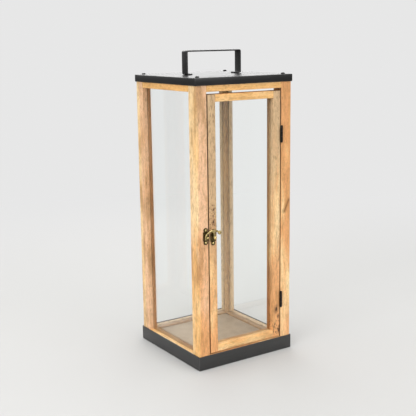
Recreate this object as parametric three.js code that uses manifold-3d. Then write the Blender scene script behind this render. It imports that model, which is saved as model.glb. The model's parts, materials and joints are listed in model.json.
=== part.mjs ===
// A standing candle lantern: a wooden frame with three fixed panes and a glazed door, set in a black
// sheet-metal base tray under a black sheet-metal cap with a fixed carrying handle.
//
// Millimetres, +Z up. The origin is the middle of the base tray's underside. The door is on the -Y
// side, hinged at its +X edge and latched at its -X edge.

import * as THREE from "three";
import { mergeGeometries, mergeVertices } from "three/addons/utils/BufferGeometryUtils.js";
import Module from "manifold-3d";

const wasm = await Module();
wasm.setup();

// ---- Driving dimensions ------------------------------------------------------------------------

const SHEET = 1.6; // thickness of the base tray and of the cap
const SEAT_GAP = 0.3; // play between pieces that rest on each other
const TRAY_SIZE = 200;
const TRAY_HEIGHT = 25;
const CAP_SIZE = 200;
const CAP_SKIRT = 12.5;
const CAP_TOP = 498; // height of the cap's top face

const FRAME_HALF = 98; // half of the wooden frame's outer width
const POST_DEPTH = 22; // every post, along Y
const FRONT_POST_WIDTH = 21; // along X
const BACK_POST_WIDTH = 18;
const RAIL_DEPTH = 22; // every rail, from its outer to its inner face
const TOP_RAIL_BOTTOM = 475;
const BOTTOM_RAIL_TOP = 24; // the glazed sides' rails, just below the rim of the tray
const SILL_TOP = 25.2; // the front bottom rail, under the door
const BOARD_TOP = 21; // the floor that the candle stands on

const GLASS = 2.4;
const GROOVE_WIDTH = 3;
const GROOVE_DEPTH = 4;
const GROOVE_INSET = 10.5; // middle of a frame groove, from the frame's outer face
const GLASS_END_PLAY = 0.4; // between a pane's edge and the bottom of its groove

const DOOR_LEFT = -75;
const DOOR_RIGHT = 75.2;
const DOOR_BOTTOM = 27.2;
const DOOR_TOP = 470.4;
const DOOR_THICKNESS = 20;
const STILE_WIDTH = 15;
const DOOR_RAIL_HEIGHT = 12.2;
const DOOR_GROOVE_INSET = 10;

const HINGE_HEIGHTS = { lower: 97, upper: 396 };
const HINGE_LENGTH = 28;
const HINGE_X = 76.1;
const HINGE_STANDOFF = 2.5; // hinge axis, in front of the wood
const KNUCKLE_RADIUS = 2.3;
const KNUCKLE_GAP = 0.3;
const PIN_RADIUS = 1.1;
const PIN_BORE_RADIUS = 1.3;
const LEAF_THICKNESS = 0.6;
const LEAF_GAP = 0.3; // between the two leaves of a closed hinge
const LEAF_REACH = 13; // how far a leaf goes in behind the wood's face
const LEAF_SCREW_INSET = 7.5;
const LEAF_SCREW_OFFSET = 7; // above and below the hinge's middle

const HANDLE_TOP = 540;
const HANDLE_SPAN = 114; // outside to outside of the legs
const HANDLE_WIDTH = 16;
const HANDLE_STRIP = 2.5;
const HANDLE_FOOT_END = 45; // distance of each foot's inner end from the middle
const HANDLE_BEND = 3.6; // outer radius of each bend
const RIVET_X = 49.8;
const RIVET = { shank: 1.3, head: 2.6, tail: 2.8, tailDome: 1.3 };
const RIVET_HOLE = { cap: 1.9, foot: 1.7, footMouth: 3.1 };

const CAP_SCREW_SPOT = 88; // distance of each corner screw from the middle, both ways
const CAP_SCREW_HEAD = { radius: 3.6, height: 2.4 };
const WOOD_SCREW = { radius: 1.7, length: 20 };
const WOOD_SCREW_BORE = 2.05;
const BASE_SCREW = [3.4, 1.7, 1.6, 20]; // head radius, shank radius, head depth, length
const LEAF_SCREW = [1.9, 0.9, 1.1, 9];
const SCREW_PLAY = 0.3;
const LEAF_SCREW_PLAY = 0.2;

const KEEPER = { x: -83, z: 236, width: 10, height: 29 };
const STUD = { x: -81.4, z: 234, radius: 2, shank: 1.1, length: 6.6, depth: 7, bore: 1.4 };
const PIVOT_PLATE = { x: -68.3, z: 232.6, width: 10.4, height: 27.6 };
const PIVOT = { x: -66.9, z: 232.5, shank: 1.35, head: 2.8, depth: 7, bore: 1.7 };
const PLATE_THICKNESS = 1.2;
const LOBE_RADIUS = 4; // the round ends of both plates
const NAIL_HEAD = { radius: 2, height: 1.1 };
const NAIL_RADIUS = 0.7;
const NAIL_LENGTH = 9;
const ARM_BACK = 3.2; // back face of the latch arm, in front of the wood
const ARM_THICKNESS = 2.5;
const ARM_EYE = { radius: 3.1, bore: 1.65, back: 1.75 }; // the arm's boss on the pivot
const BALL = { x: 9.8, z: 7.6, radius: 3.5 }; // grip, from the pivot

const ROUND = 16; // sides of a round piece
const SMALL_ROUND = 10;

// ---- Worked-out places -------------------------------------------------------------------------

const WOOD_BOTTOM = SHEET + SEAT_GAP;
const WOOD_TOP = CAP_TOP - SHEET - SEAT_GAP;
const FRONT = -FRAME_HALF; // the plane of the wooden front
const INNER_Y = FRAME_HALF - POST_DEPTH;
const FRONT_OPENING = FRAME_HALF - FRONT_POST_WIDTH;
const BACK_OPENING = FRAME_HALF - BACK_POST_WIDTH;
const GROOVE_LINE = FRAME_HALF - GROOVE_INSET;
const DOOR_GLASS_Y = FRONT + DOOR_GROOVE_INSET;
const HINGE_Y = FRONT - HINGE_STANDOFF;

// ---- Finishes ----------------------------------------------------------------------------------

const WOOD_SHADES = { honey: 0xe0b07a, pale: 0xe9c596, amber: 0xd99b60, buff: 0xd9b78c };

function wood(shade) {
  return new THREE.MeshStandardMaterial({ color: WOOD_SHADES[shade], roughness: 0.62, metalness: 0 });
}

function blackPaint() {
  return new THREE.MeshStandardMaterial({ color: 0x2b2b2b, roughness: 0.42, metalness: 0.5 });
}

function agedBrass() {
  return new THREE.MeshStandardMaterial({ color: 0x7a6436, roughness: 0.38, metalness: 0.9 });
}

function board() {
  return new THREE.MeshStandardMaterial({ color: 0xbca88f, roughness: 0.8, metalness: 0 });
}

function clearGlass() {
  return new THREE.MeshStandardMaterial({
    color: 0xeef4f2,
    roughness: 0.03,
    metalness: 0,
    transparent: true,
    opacity: 0.25,
  });
}

// ---- Shape helpers -----------------------------------------------------------------------------

/** A box from its lowest to its highest corner. */
function boxBetween(low, high) {
  const size = low.map((start, axis) => high[axis] - start);
  const middle = low.map((start, axis) => (start + high[axis]) / 2);
  return new THREE.BoxGeometry(...size).translate(...middle);
}

/** A round bar (or a cone, with two radii) along +Z, starting at the origin. */
function bar(radius, length, endRadius = radius, sides = ROUND) {
  return new THREE.CylinderGeometry(endRadius, radius, length, sides)
    .rotateX(Math.PI / 2)
    .translate(0, 0, length / 2);
}

/** A solid of revolution about +Z, from [radius, height] pairs that start and end on the axis. */
function turned(profile, sides = ROUND) {
  const outline = profile.map(([radius, height]) => new THREE.Vector2(radius, height));
  return new THREE.LatheGeometry(outline, sides).rotateX(Math.PI / 2);
}

/** A flat outline in X and Z, thickened along Y between two planes. */
function slab(shape, lowY, highY, curveSegments = 8) {
  const geometry = new THREE.ExtrudeGeometry(shape, {
    depth: highY - lowY,
    bevelEnabled: false,
    curveSegments,
  });
  return geometry.rotateX(Math.PI / 2).translate(0, highY, 0);
}

/** The closed solid of a geometry, ready to be cut or joined. */
function solid(geometry) {
  const plain = geometry.index ? geometry.toNonIndexed() : geometry.clone();
  plain.deleteAttribute("normal");
  plain.deleteAttribute("uv");
  const merged = mergeVertices(mergeGeometries([plain]), 1e-4);
  return new wasm.Manifold(
    new wasm.Mesh({
      numProp: 3,
      vertProperties: new Float32Array(merged.attributes.position.array),
      triVerts: new Uint32Array(merged.index.array),
    }),
  );
}

/** The geometry of a solid. */
function surface(body) {
  const { vertProperties, triVerts } = body.getMesh();
  const geometry = new THREE.BufferGeometry();
  geometry.setAttribute("position", new THREE.BufferAttribute(vertProperties, 3));
  geometry.setIndex(new THREE.BufferAttribute(triVerts, 1));
  const faceted = geometry.toNonIndexed();
  faceted.computeVertexNormals();
  return faceted;
}

/** A geometry with others joined to it and then others taken away. */
function shaped(geometry, { add = [], cut = [] }) {
  const joined = add.reduce((body, piece) => body.add(solid(piece)), solid(geometry));
  return surface(cut.reduce((body, piece) => body.subtract(solid(piece)), joined));
}

function piece(name, geometry, material, place = [0, 0, 0]) {
  const mesh = new THREE.Mesh(geometry, material);
  mesh.name = name;
  mesh.position.set(...place);
  return mesh;
}

/** Turns a geometry made along +Z so that it runs along another direction. */
function aimed(geometry, direction) {
  const turn = new THREE.Quaternion().setFromUnitVectors(
    new THREE.Vector3(0, 0, 1),
    new THREE.Vector3(...direction),
  );
  return geometry.applyQuaternion(turn);
}

// ---- Fasteners, each made along +Z with its head's seat at z = 0 ---------------------------------

/** A domed screw with a cross recess; its shank runs down from the head. */
function domedScrew() {
  const { radius, height } = CAP_SCREW_HEAD;
  const head = turned([
    [0, -WOOD_SCREW.length],
    [0.5, -WOOD_SCREW.length + 0.6],
    [WOOD_SCREW.radius, -WOOD_SCREW.length + 3.5],
    [WOOD_SCREW.radius, 0],
    [radius, 0],
    [radius, height * 0.35],
    [radius * 0.86, height * 0.72],
    [radius * 0.52, height * 0.95],
    [0, height],
  ]);
  return shaped(head, { cut: crossRecess(height * 0.45, height + 1, radius * 0.62, 0.8) });
}

/** The two crossed slots of a driver recess, between two heights. */
function crossRecess(low, high, reach, width) {
  return [
    boxBetween([-reach, -width / 2, low], [reach, width / 2, high]),
    boxBetween([-width / 2, -reach, low], [width / 2, reach, high]),
  ];
}

/** A countersunk screw: flat head at z = 0, shank below. */
function flatScrew(headRadius, shankRadius, headDepth, length) {
  const blank = turned(
    [
      [0, -length],
      [0.3, -length + 0.4],
      [shankRadius, -length + 2.5],
      [shankRadius, -headDepth],
      [headRadius, 0],
      [0, 0],
    ],
    SMALL_ROUND,
  );
  return shaped(blank, { cut: crossRecess(-headDepth * 0.55, 1, headRadius * 0.55, headRadius * 0.2) });
}

/** The hole that a countersunk screw leaves, with play all round. */
function flatScrewHole(headRadius, shankRadius, headDepth, length, play) {
  const cone = bar(shankRadius + play, headDepth + play, headRadius + play, SMALL_ROUND);
  const shank = bar(shankRadius + play, length + play, shankRadius + play, SMALL_ROUND);
  const mouth = bar(headRadius + play, 1, headRadius + play, SMALL_ROUND);
  return [
    cone.translate(0, 0, -headDepth - play / 2),
    shank.translate(0, 0, -length - play),
    mouth.translate(0, 0, play / 2 - 0.001),
  ];
}

/** A round-headed nail: dome above z = 0, shank below. */
function domedNail() {
  const { radius, height } = NAIL_HEAD;
  return turned(
    [
      [0, -NAIL_LENGTH],
      [NAIL_RADIUS, -NAIL_LENGTH + 1.5],
      [NAIL_RADIUS, 0],
      [radius, 0],
      [radius * 0.93, height * 0.4],
      [radius * 0.62, height * 0.84],
      [0, height],
    ],
    SMALL_ROUND,
  );
}

// ---- Base and cap -------------------------------------------------------------------------------

const CORNERS = {
  front_left: [-1, -1],
  front_right: [1, -1],
  back_left: [-1, 1],
  back_right: [1, 1],
};

function atCorners(spot, make) {
  return Object.values(CORNERS).map(([sideX, sideY]) => make().translate(sideX * spot, sideY * spot, 0));
}

/** An open pan of folded sheet, its mouth up, standing on z = 0. */
function pan(size, height) {
  const half = size / 2;
  const inner = half - SHEET;
  return {
    outside: boxBetween([-half, -half, 0], [half, half, height]),
    hollow: boxBetween([-inner, -inner, SHEET], [inner, inner, height + 1]),
  };
}

function baseTray() {
  const { outside, hollow } = pan(TRAY_SIZE, TRAY_HEIGHT);
  const [headRadius, shankRadius] = BASE_SCREW;
  const holes = atCorners(CAP_SCREW_SPOT, () => {
    const countersink = bar(headRadius + 0.6, SHEET + 0.4, shankRadius + 0.5);
    return countersink.translate(0, 0, -0.2);
  });
  return shaped(outside, { cut: [hollow, ...holes] });
}

function cap() {
  const { outside, hollow } = pan(CAP_SIZE, CAP_SKIRT);
  const flip = (geometry) => geometry.rotateX(Math.PI).translate(0, 0, CAP_TOP);
  const screwHole = () => bar(WOOD_SCREW_BORE, SHEET + 2).translate(0, 0, CAP_TOP - SHEET - 1);
  const rivetHole = (x) => bar(RIVET_HOLE.cap, SHEET + 2).translate(x, 0, CAP_TOP - SHEET - 1);
  return shaped(flip(outside), {
    cut: [flip(hollow), ...atCorners(CAP_SCREW_SPOT, screwHole), rivetHole(-RIVET_X), rivetHole(RIVET_X)],
  });
}

// ---- The handle: one strip bent to a square arch, its feet turned inward --------------------------

function handle() {
  const bottom = CAP_TOP + SEAT_GAP;
  const outerX = HANDLE_SPAN / 2;
  const innerX = outerX - HANDLE_STRIP;
  const underside = HANDLE_TOP - HANDLE_STRIP;
  const footTop = bottom + HANDLE_STRIP;
  const outerBend = HANDLE_BEND;
  const innerBend = HANDLE_BEND - HANDLE_STRIP;

  // The outline runs round the outside, then back round the inside.
  const outline = new THREE.Shape();
  outline.moveTo(-HANDLE_FOOT_END, bottom);
  outline.lineTo(-outerX + outerBend, bottom);
  outline.absarc(-outerX + outerBend, bottom + outerBend, outerBend, -Math.PI / 2, -Math.PI, true);
  outline.lineTo(-outerX, HANDLE_TOP - outerBend);
  outline.absarc(-outerX + outerBend, HANDLE_TOP - outerBend, outerBend, Math.PI, Math.PI / 2, true);
  outline.lineTo(outerX - outerBend, HANDLE_TOP);
  outline.absarc(outerX - outerBend, HANDLE_TOP - outerBend, outerBend, Math.PI / 2, 0, true);
  outline.lineTo(outerX, bottom + outerBend);
  outline.absarc(outerX - outerBend, bottom + outerBend, outerBend, 0, -Math.PI / 2, true);
  outline.lineTo(HANDLE_FOOT_END, bottom);
  outline.lineTo(HANDLE_FOOT_END, footTop);
  outline.lineTo(innerX - innerBend, footTop);
  outline.absarc(innerX - innerBend, footTop + innerBend, innerBend, -Math.PI / 2, 0, false);
  outline.lineTo(innerX, underside - innerBend);
  outline.absarc(innerX - innerBend, underside - innerBend, innerBend, 0, Math.PI / 2, false);
  outline.lineTo(-innerX + innerBend, underside);
  outline.absarc(-innerX + innerBend, underside - innerBend, innerBend, Math.PI / 2, Math.PI, false);
  outline.lineTo(-innerX, footTop + innerBend);
  outline.absarc(-innerX + innerBend, footTop + innerBend, innerBend, Math.PI, 1.5 * Math.PI, false);
  outline.lineTo(-HANDLE_FOOT_END, footTop);
  outline.closePath();

  const strip = slab(outline, -HANDLE_WIDTH / 2, HANDLE_WIDTH / 2, 4);
  const { foot, footMouth } = RIVET_HOLE;
  const sink = (x) => bar(foot, HANDLE_STRIP + 0.4, footMouth).translate(x, 0, bottom - 0.2);
  return shaped(strip, { cut: [sink(-RIVET_X), sink(RIVET_X)] });
}

/** A flush rivet: its head sits in the foot's countersink and its tail is formed under the cap. */
function handleRivet() {
  const head = HANDLE_STRIP + SEAT_GAP - 0.1;
  const tail = -SHEET - SEAT_GAP;
  return turned([
    [0, tail - RIVET.tailDome],
    [RIVET.tail * 0.7, tail - RIVET.tailDome * 0.85],
    [RIVET.tail, tail],
    [RIVET.shank, tail],
    [RIVET.shank, SEAT_GAP],
    [RIVET.head, head],
    [0, head],
  ]);
}

// ---- The wooden frame ---------------------------------------------------------------------------

/** One corner post, with the grooves and screw holes on its own faces. */
function post([sideX, sideY]) {
  const width = sideY < 0 ? FRONT_POST_WIDTH : BACK_POST_WIDTH;
  const xs = [sideX * FRAME_HALF, sideX * (FRAME_HALF - width)].sort((a, b) => a - b);
  const ys = [sideY * FRAME_HALF, sideY * INNER_Y].sort((a, b) => a - b);
  const blank = boxBetween([xs[0], ys[0], WOOD_BOTTOM], [xs[1], ys[1], WOOD_TOP]);

  const half = GROOVE_WIDTH / 2;
  const below = WOOD_BOTTOM - 1;
  const above = WOOD_TOP + 1;
  const grooveX = sideX * GROOVE_LINE;
  const mouthY = sideY * (INNER_Y - 1);
  const endY = sideY * (INNER_Y + GROOVE_DEPTH);
  const cuts = [
    boxBetween(
      [grooveX - half, Math.min(mouthY, endY), below],
      [grooveX + half, Math.max(mouthY, endY), above],
    ),
  ];
  if (sideY > 0) {
    const mouthX = sideX * (BACK_OPENING - 1);
    const endX = sideX * (BACK_OPENING + GROOVE_DEPTH);
    cuts.push(
      boxBetween(
        [Math.min(mouthX, endX), GROOVE_LINE - half, below],
        [Math.max(mouthX, endX), GROOVE_LINE + half, above],
      ),
    );
  }

  const spot = [sideX * CAP_SCREW_SPOT, sideY * CAP_SCREW_SPOT];
  const bore = WOOD_SCREW.length + 1;
  cuts.push(bar(WOOD_SCREW_BORE, bore).translate(...spot, WOOD_TOP - bore + 1));
  cuts.push(bar(WOOD_SCREW_BORE, bore + 1).translate(...spot, WOOD_BOTTOM - 1));
  if (sideX < 0 && sideY < 0) {
    cuts.push(...keeperNailSpots().map(([x, z]) => frontBore(x, z, NAIL_RADIUS + SCREW_PLAY, NAIL_LENGTH)));
    cuts.push(frontBore(STUD.x, STUD.z, STUD.bore, STUD.depth - 1));
  }
  if (sideX > 0 && sideY < 0) {
    cuts.push(...leafScrewHoles(1));
  }
  return shaped(blank, { cut: cuts });
}

/** A hole of a given depth in the wooden front, open towards -Y. */
function frontBore(x, z, radius, depth) {
  const hole = bar(radius, depth + 1, radius, SMALL_ROUND);
  return aimed(hole, [0, 1, 0]).translate(x, FRONT - 1, z);
}

const SIDES = {
  left: { along: "y", sign: -1 },
  right: { along: "y", sign: 1 },
  back: { along: "x", sign: 1 },
  front: { along: "x", sign: -1 },
};

/** A frame rail on one side; a glazed side has a groove in the edge that faces its pane. */
function rail(side, low, high, grooveFace) {
  const { along, sign } = SIDES[side];
  const reach = along === "y" ? INNER_Y : side === "back" ? BACK_OPENING : FRONT_OPENING;
  const across = [sign * FRAME_HALF, sign * (FRAME_HALF - RAIL_DEPTH)].sort((a, b) => a - b);
  const corner = (acrossValue, alongValue, height) =>
    along === "y" ? [acrossValue, alongValue, height] : [alongValue, acrossValue, height];
  const blank = boxBetween(corner(across[0], -reach, low), corner(across[1], reach, high));
  if (!grooveFace) {
    return blank;
  }
  const line = sign * GROOVE_LINE;
  const half = GROOVE_WIDTH / 2;
  const levels = grooveFace === "top" ? [high - GROOVE_DEPTH, high + 1] : [low - 1, low + GROOVE_DEPTH];
  const groove = boxBetween(
    corner(line - half, -reach - 1, levels[0]),
    corner(line + half, reach + 1, levels[1]),
  );
  return shaped(blank, { cut: [groove] });
}

/** A fixed pane, held by its edges in the grooves of two posts and two rails. */
function pane(side) {
  const { along, sign } = SIDES[side];
  const hold = GROOVE_DEPTH - GLASS_END_PLAY;
  const reach = (along === "y" ? INNER_Y : BACK_OPENING) + hold;
  const line = sign * GROOVE_LINE;
  const low = BOTTOM_RAIL_TOP - hold;
  const high = TOP_RAIL_BOTTOM + hold;
  return along === "y"
    ? boxBetween([line - GLASS / 2, -reach, low], [line + GLASS / 2, reach, high])
    : boxBetween([-reach, line - GLASS / 2, low], [reach, line + GLASS / 2, high]);
}

function baseBoard() {
  const half = FRAME_HALF - RAIL_DEPTH - SEAT_GAP;
  return boxBetween([-half, -half, WOOD_BOTTOM], [half, half, BOARD_TOP]);
}

// ---- The door -----------------------------------------------------------------------------------

const DOOR_BACK = FRONT + DOOR_THICKNESS;
const DOOR_OPENING = {
  left: DOOR_LEFT + STILE_WIDTH,
  right: DOOR_RIGHT - STILE_WIDTH,
  bottom: DOOR_BOTTOM + DOOR_RAIL_HEIGHT,
  top: DOOR_TOP - DOOR_RAIL_HEIGHT,
};

/** The groove for the door's pane, as one frame-shaped cutter block. */
function doorGrooveBlock() {
  const half = GROOVE_WIDTH / 2;
  return boxBetween(
    [DOOR_OPENING.left - GROOVE_DEPTH, DOOR_GLASS_Y - half, DOOR_OPENING.bottom - GROOVE_DEPTH],
    [DOOR_OPENING.right + GROOVE_DEPTH, DOOR_GLASS_Y + half, DOOR_OPENING.top + GROOVE_DEPTH],
  );
}

function latchStile() {
  const blank = boxBetween([DOOR_LEFT, FRONT, DOOR_BOTTOM], [DOOR_OPENING.left, DOOR_BACK, DOOR_TOP]);
  const nailBores = pivotNailSpots().map(([x, z]) =>
    frontBore(x, z, NAIL_RADIUS + SCREW_PLAY, NAIL_LENGTH),
  );
  const pivotBore = frontBore(PIVOT.x, PIVOT.z, PIVOT.bore, PIVOT.depth + 1);
  return shaped(blank, { cut: [doorGrooveBlock(), ...nailBores, pivotBore] });
}

function hingeStile() {
  const blank = boxBetween([DOOR_OPENING.right, FRONT, DOOR_BOTTOM], [DOOR_RIGHT, DOOR_BACK, DOOR_TOP]);
  return shaped(blank, { cut: [doorGrooveBlock(), ...leafScrewHoles(-1)] });
}

function doorRail(low, high) {
  const blank = boxBetween([DOOR_OPENING.left, FRONT, low], [DOOR_OPENING.right, DOOR_BACK, high]);
  return shaped(blank, { cut: [doorGrooveBlock()] });
}

function doorPane() {
  const hold = GROOVE_DEPTH - GLASS_END_PLAY;
  return boxBetween(
    [DOOR_OPENING.left - hold, DOOR_GLASS_Y - GLASS / 2, DOOR_OPENING.bottom - hold],
    [DOOR_OPENING.right + hold, DOOR_GLASS_Y + GLASS / 2, DOOR_OPENING.top + hold],
  );
}

// ---- Butt hinges: two leaves in the seam, three knuckles and a loose pin ---------------------------
// A hinge is made round its own axis, with the leaves going in along +Y. side is 1 for the leaf on
// the post and -1 for the leaf on the door.

const LEAF_FACE = LEAF_GAP / 2; // a leaf's inner face, from the hinge's middle plane

/** The height ranges of the outer knuckles and of the middle one. */
function knuckles() {
  const third = HINGE_LENGTH / 3;
  const end = HINGE_LENGTH / 2;
  const half = KNUCKLE_GAP / 2;
  return {
    outer: [
      [-end, -end + third - half],
      [end - third + half, end],
    ],
    middle: [[-third / 2 + half, third / 2 - half]],
  };
}

function hingeLeaf(side) {
  const { outer, middle } = knuckles();
  const own = side > 0 ? outer : middle;
  const other = side > 0 ? middle : outer;
  const xs = [side * LEAF_FACE, side * (LEAF_FACE + LEAF_THICKNESS)].sort((a, b) => a - b);
  const end = HINGE_LENGTH / 2;
  const plate = boxBetween([xs[0], 0, -end], [xs[1], HINGE_STANDOFF + LEAF_REACH, end]);
  const barrels = own.map(([low, high]) => bar(KNUCKLE_RADIUS, high - low).translate(0, 0, low));
  const clearances = other.map(([low, high]) => {
    const from = low - KNUCKLE_GAP - (low === -end ? 1 : 0);
    const to = high + KNUCKLE_GAP + (high === end ? 1 : 0);
    return bar(KNUCKLE_RADIUS + KNUCKLE_GAP, to - from).translate(0, 0, from);
  });
  const bore = bar(PIN_BORE_RADIUS, HINGE_LENGTH + 2, PIN_BORE_RADIUS, ROUND).translate(0, 0, -end - 1);
  const notched = shaped(plate, { cut: clearances });
  return shaped(notched, { add: barrels, cut: [bore, ...leafHoles(side)] });
}

/** Countersunk holes in one leaf, in the hinge's own frame. */
function leafHoles(side) {
  return [-LEAF_SCREW_OFFSET, LEAF_SCREW_OFFSET].flatMap((height) =>
    flatScrewHole(...LEAF_SCREW, LEAF_SCREW_PLAY).map((cutter) =>
      aimed(cutter, [-side, 0, 0]).translate(
        side * LEAF_FACE,
        HINGE_STANDOFF + LEAF_SCREW_INSET,
        height,
      ),
    ),
  );
}

/** The same holes in the wood behind the leaves of both hinges, in the lantern's frame. */
function leafScrewHoles(side) {
  return Object.values(HINGE_HEIGHTS).flatMap((height) =>
    leafHoles(side).map((cutter) => cutter.translate(HINGE_X, HINGE_Y, height)),
  );
}

function hingePin() {
  const end = HINGE_LENGTH / 2;
  const button = 0.9;
  return turned([
    [0, -end - KNUCKLE_GAP - button],
    [PIN_RADIUS, -end - KNUCKLE_GAP - button],
    [1.8, -end - KNUCKLE_GAP - button * 0.4],
    [1.8, -end - KNUCKLE_GAP],
    [PIN_RADIUS, -end - KNUCKLE_GAP],
    [PIN_RADIUS, end + KNUCKLE_GAP],
    [1.8, end + KNUCKLE_GAP],
    [1.8, end + KNUCKLE_GAP + button * 0.4],
    [PIN_RADIUS, end + KNUCKLE_GAP + button],
    [0, end + KNUCKLE_GAP + button],
  ]);
}

function hingeLeafGroup(which, side) {
  const group = new THREE.Group();
  const height = HINGE_HEIGHTS[which];
  group.position.set(HINGE_X, HINGE_Y, height);
  const owner = side > 0 ? "frame" : "door";
  group.add(piece(`hinge_${which}_${owner}_leaf`, hingeLeaf(side), blackPaint()));
  const spots = { low: -LEAF_SCREW_OFFSET, high: LEAF_SCREW_OFFSET };
  for (const [label, offset] of Object.entries(spots)) {
    const screw = aimed(flatScrew(...LEAF_SCREW), [-side, 0, 0]);
    const place = [side * (LEAF_FACE + 0.1), HINGE_STANDOFF + LEAF_SCREW_INSET, offset];
    group.add(piece(`hinge_${which}_${owner}_screw_${label}`, screw, blackPaint(), place));
  }
  return group;
}

// ---- Latch: a keeper with a stud on the post, and a swinging hook on the door ----------------------

/** A small plate: a square middle between two round lobes, centred on the origin in X and Z. */
function lobedOutline({ width, height }) {
  const lobe = height / 2 - LOBE_RADIUS;
  const half = width / 2;
  const shoulder = lobe - LOBE_RADIUS * 0.7;
  const spread = Math.PI / 2 + 0.35;
  const outline = new THREE.Shape();
  outline.moveTo(-half, -shoulder);
  outline.lineTo(-half, shoulder);
  outline.absarc(0, lobe, LOBE_RADIUS, Math.PI / 2 + spread, Math.PI / 2 - spread, true);
  outline.lineTo(half, shoulder);
  outline.lineTo(half, -shoulder);
  outline.absarc(0, -lobe, LOBE_RADIUS, -Math.PI / 2 + spread, -Math.PI / 2 - spread, true);
  outline.closePath();
  return outline;
}

/** A latch plate with its two nail holes and one more hole. */
function latchPlate(plate, hole) {
  const back = FRONT - SEAT_GAP;
  const sheet = slab(lobedOutline(plate), back - PLATE_THICKNESS, back, 6).translate(plate.x, 0, plate.z);
  const nailHoles = nailSpots(plate).map(([x, z]) => plateHole(x, z, NAIL_RADIUS + SCREW_PLAY));
  return shaped(sheet, { cut: [...nailHoles, plateHole(hole.x, hole.z, hole.radius)] });
}

function plateHole(x, z, radius) {
  const hole = bar(radius, 6, radius, SMALL_ROUND);
  return aimed(hole, [0, 1, 0]).translate(x, FRONT - 4, z);
}

function nailSpots({ x, z, height }) {
  const lobe = height / 2 - LOBE_RADIUS;
  return [
    [x, z - lobe],
    [x, z + lobe],
  ];
}

function keeperNailSpots() {
  return nailSpots(KEEPER);
}

function pivotNailSpots() {
  return nailSpots(PIVOT_PLATE);
}

const PLATE_FACE = FRONT - SEAT_GAP - PLATE_THICKNESS; // front face of both plates

function platedNails(label, spots) {
  const names = ["lower", "upper"];
  return spots.map(([x, z], index) => {
    const nail = aimed(domedNail(), [0, -1, 0]);
    return piece(`${label}_nail_${names[index]}`, nail, agedBrass(), [x, PLATE_FACE - 0.2, z]);
  });
}

/** The stud that the hook drops over: a plain pin with a rounded end, set through the keeper. */
function keeperStud() {
  const front = STUD.length - SEAT_GAP - PLATE_THICKNESS;
  const pin = turned([
    [0, -STUD.depth],
    [STUD.shank, -STUD.depth + 1],
    [STUD.shank, 0.2],
    [STUD.radius, 0.2],
    [STUD.radius, front - 1],
    [STUD.radius * 0.72, front - 0.25],
    [0, front],
  ]);
  return aimed(pin, [0, -1, 0]);
}

/** The outline of a bar of changing width that follows a curve, as one closed shape. */
function barOutline(curve, steps, widthAt) {
  const leftEdge = [];
  const rightEdge = [];
  for (let step = 0; step <= steps; step += 1) {
    const t = step / steps;
    const centre = curve.getPointAt(t);
    const along = curve.getTangentAt(t);
    const half = widthAt(t) / 2;
    leftEdge.push(new THREE.Vector2(centre.x - along.y * half, centre.y + along.x * half));
    rightEdge.push(new THREE.Vector2(centre.x + along.y * half, centre.y - along.x * half));
  }
  return new THREE.Shape([...leftEdge, ...rightEdge.reverse()]);
}

/**
 * The swinging hook, made round its pivot: a stem rises to a bar that arches left over the stud,
 * where it turns down as the hook, and runs right to the ball grip.
 */
function latchArm() {
  const front = -(ARM_BACK + ARM_THICKNESS);
  const arch = new THREE.SplineCurve([
    new THREE.Vector2(BALL.x - 1, BALL.z + 0.4),
    new THREE.Vector2(4.6, 10.6),
    new THREE.Vector2(0, 12),
    new THREE.Vector2(-6, 12.2),
    new THREE.Vector2(-12.2, 10.2),
    new THREE.Vector2(-17, 6),
    new THREE.Vector2(-18.9, 1),
    new THREE.Vector2(-18.6, -2.2),
  ]);
  const archWidth = (t) => 2.4 + 1.4 * Math.sin(Math.PI * Math.min(1, t * 1.15)) - 0.9 * t ** 4;
  const archBar = slab(barOutline(arch, 26, archWidth), front, -ARM_BACK);
  const stemCurve = new THREE.SplineCurve([
    new THREE.Vector2(0, 0),
    new THREE.Vector2(-0.6, 6),
    new THREE.Vector2(-1.4, 12),
  ]);
  const stemBar = slab(barOutline(stemCurve, 6, (t) => 3.8 + 0.8 * t), front + 0.1, -ARM_BACK - 0.1);

  const boss = aimed(bar(ARM_EYE.radius, -front - ARM_EYE.back), [0, -1, 0]).translate(0, -ARM_EYE.back, 0);
  const ball = new THREE.SphereGeometry(BALL.radius, 16, 12);
  ball.translate(BALL.x, front + ARM_THICKNESS / 2, BALL.z);
  const bore = aimed(bar(ARM_EYE.bore, 12), [0, -1, 0]).translate(0, 1, 0);
  return shaped(archBar, { add: [stemBar, boss, ball], cut: [bore] });
}

/** The screw that the hook turns on: its shank runs through hook and plate into the stile. */
function pivotScrew() {
  const seat = ARM_BACK + ARM_THICKNESS + 0.2;
  const pin = turned([
    [0, -PIVOT.depth],
    [PIVOT.shank * 0.67, -PIVOT.depth + 1.5],
    [PIVOT.shank, -PIVOT.depth + 2],
    [PIVOT.shank, seat],
    [PIVOT.head, seat],
    [PIVOT.head - 0.2, seat + 0.7],
    [1.6, seat + 1.35],
    [0, seat + 1.6],
  ]);
  const slot = boxBetween([-3, -0.35, seat + 0.9], [3, 0.35, seat + 3]);
  return aimed(shaped(pin, { cut: [slot] }), [0, -1, 0]);
}

// ---- The assembly -------------------------------------------------------------------------------

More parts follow.
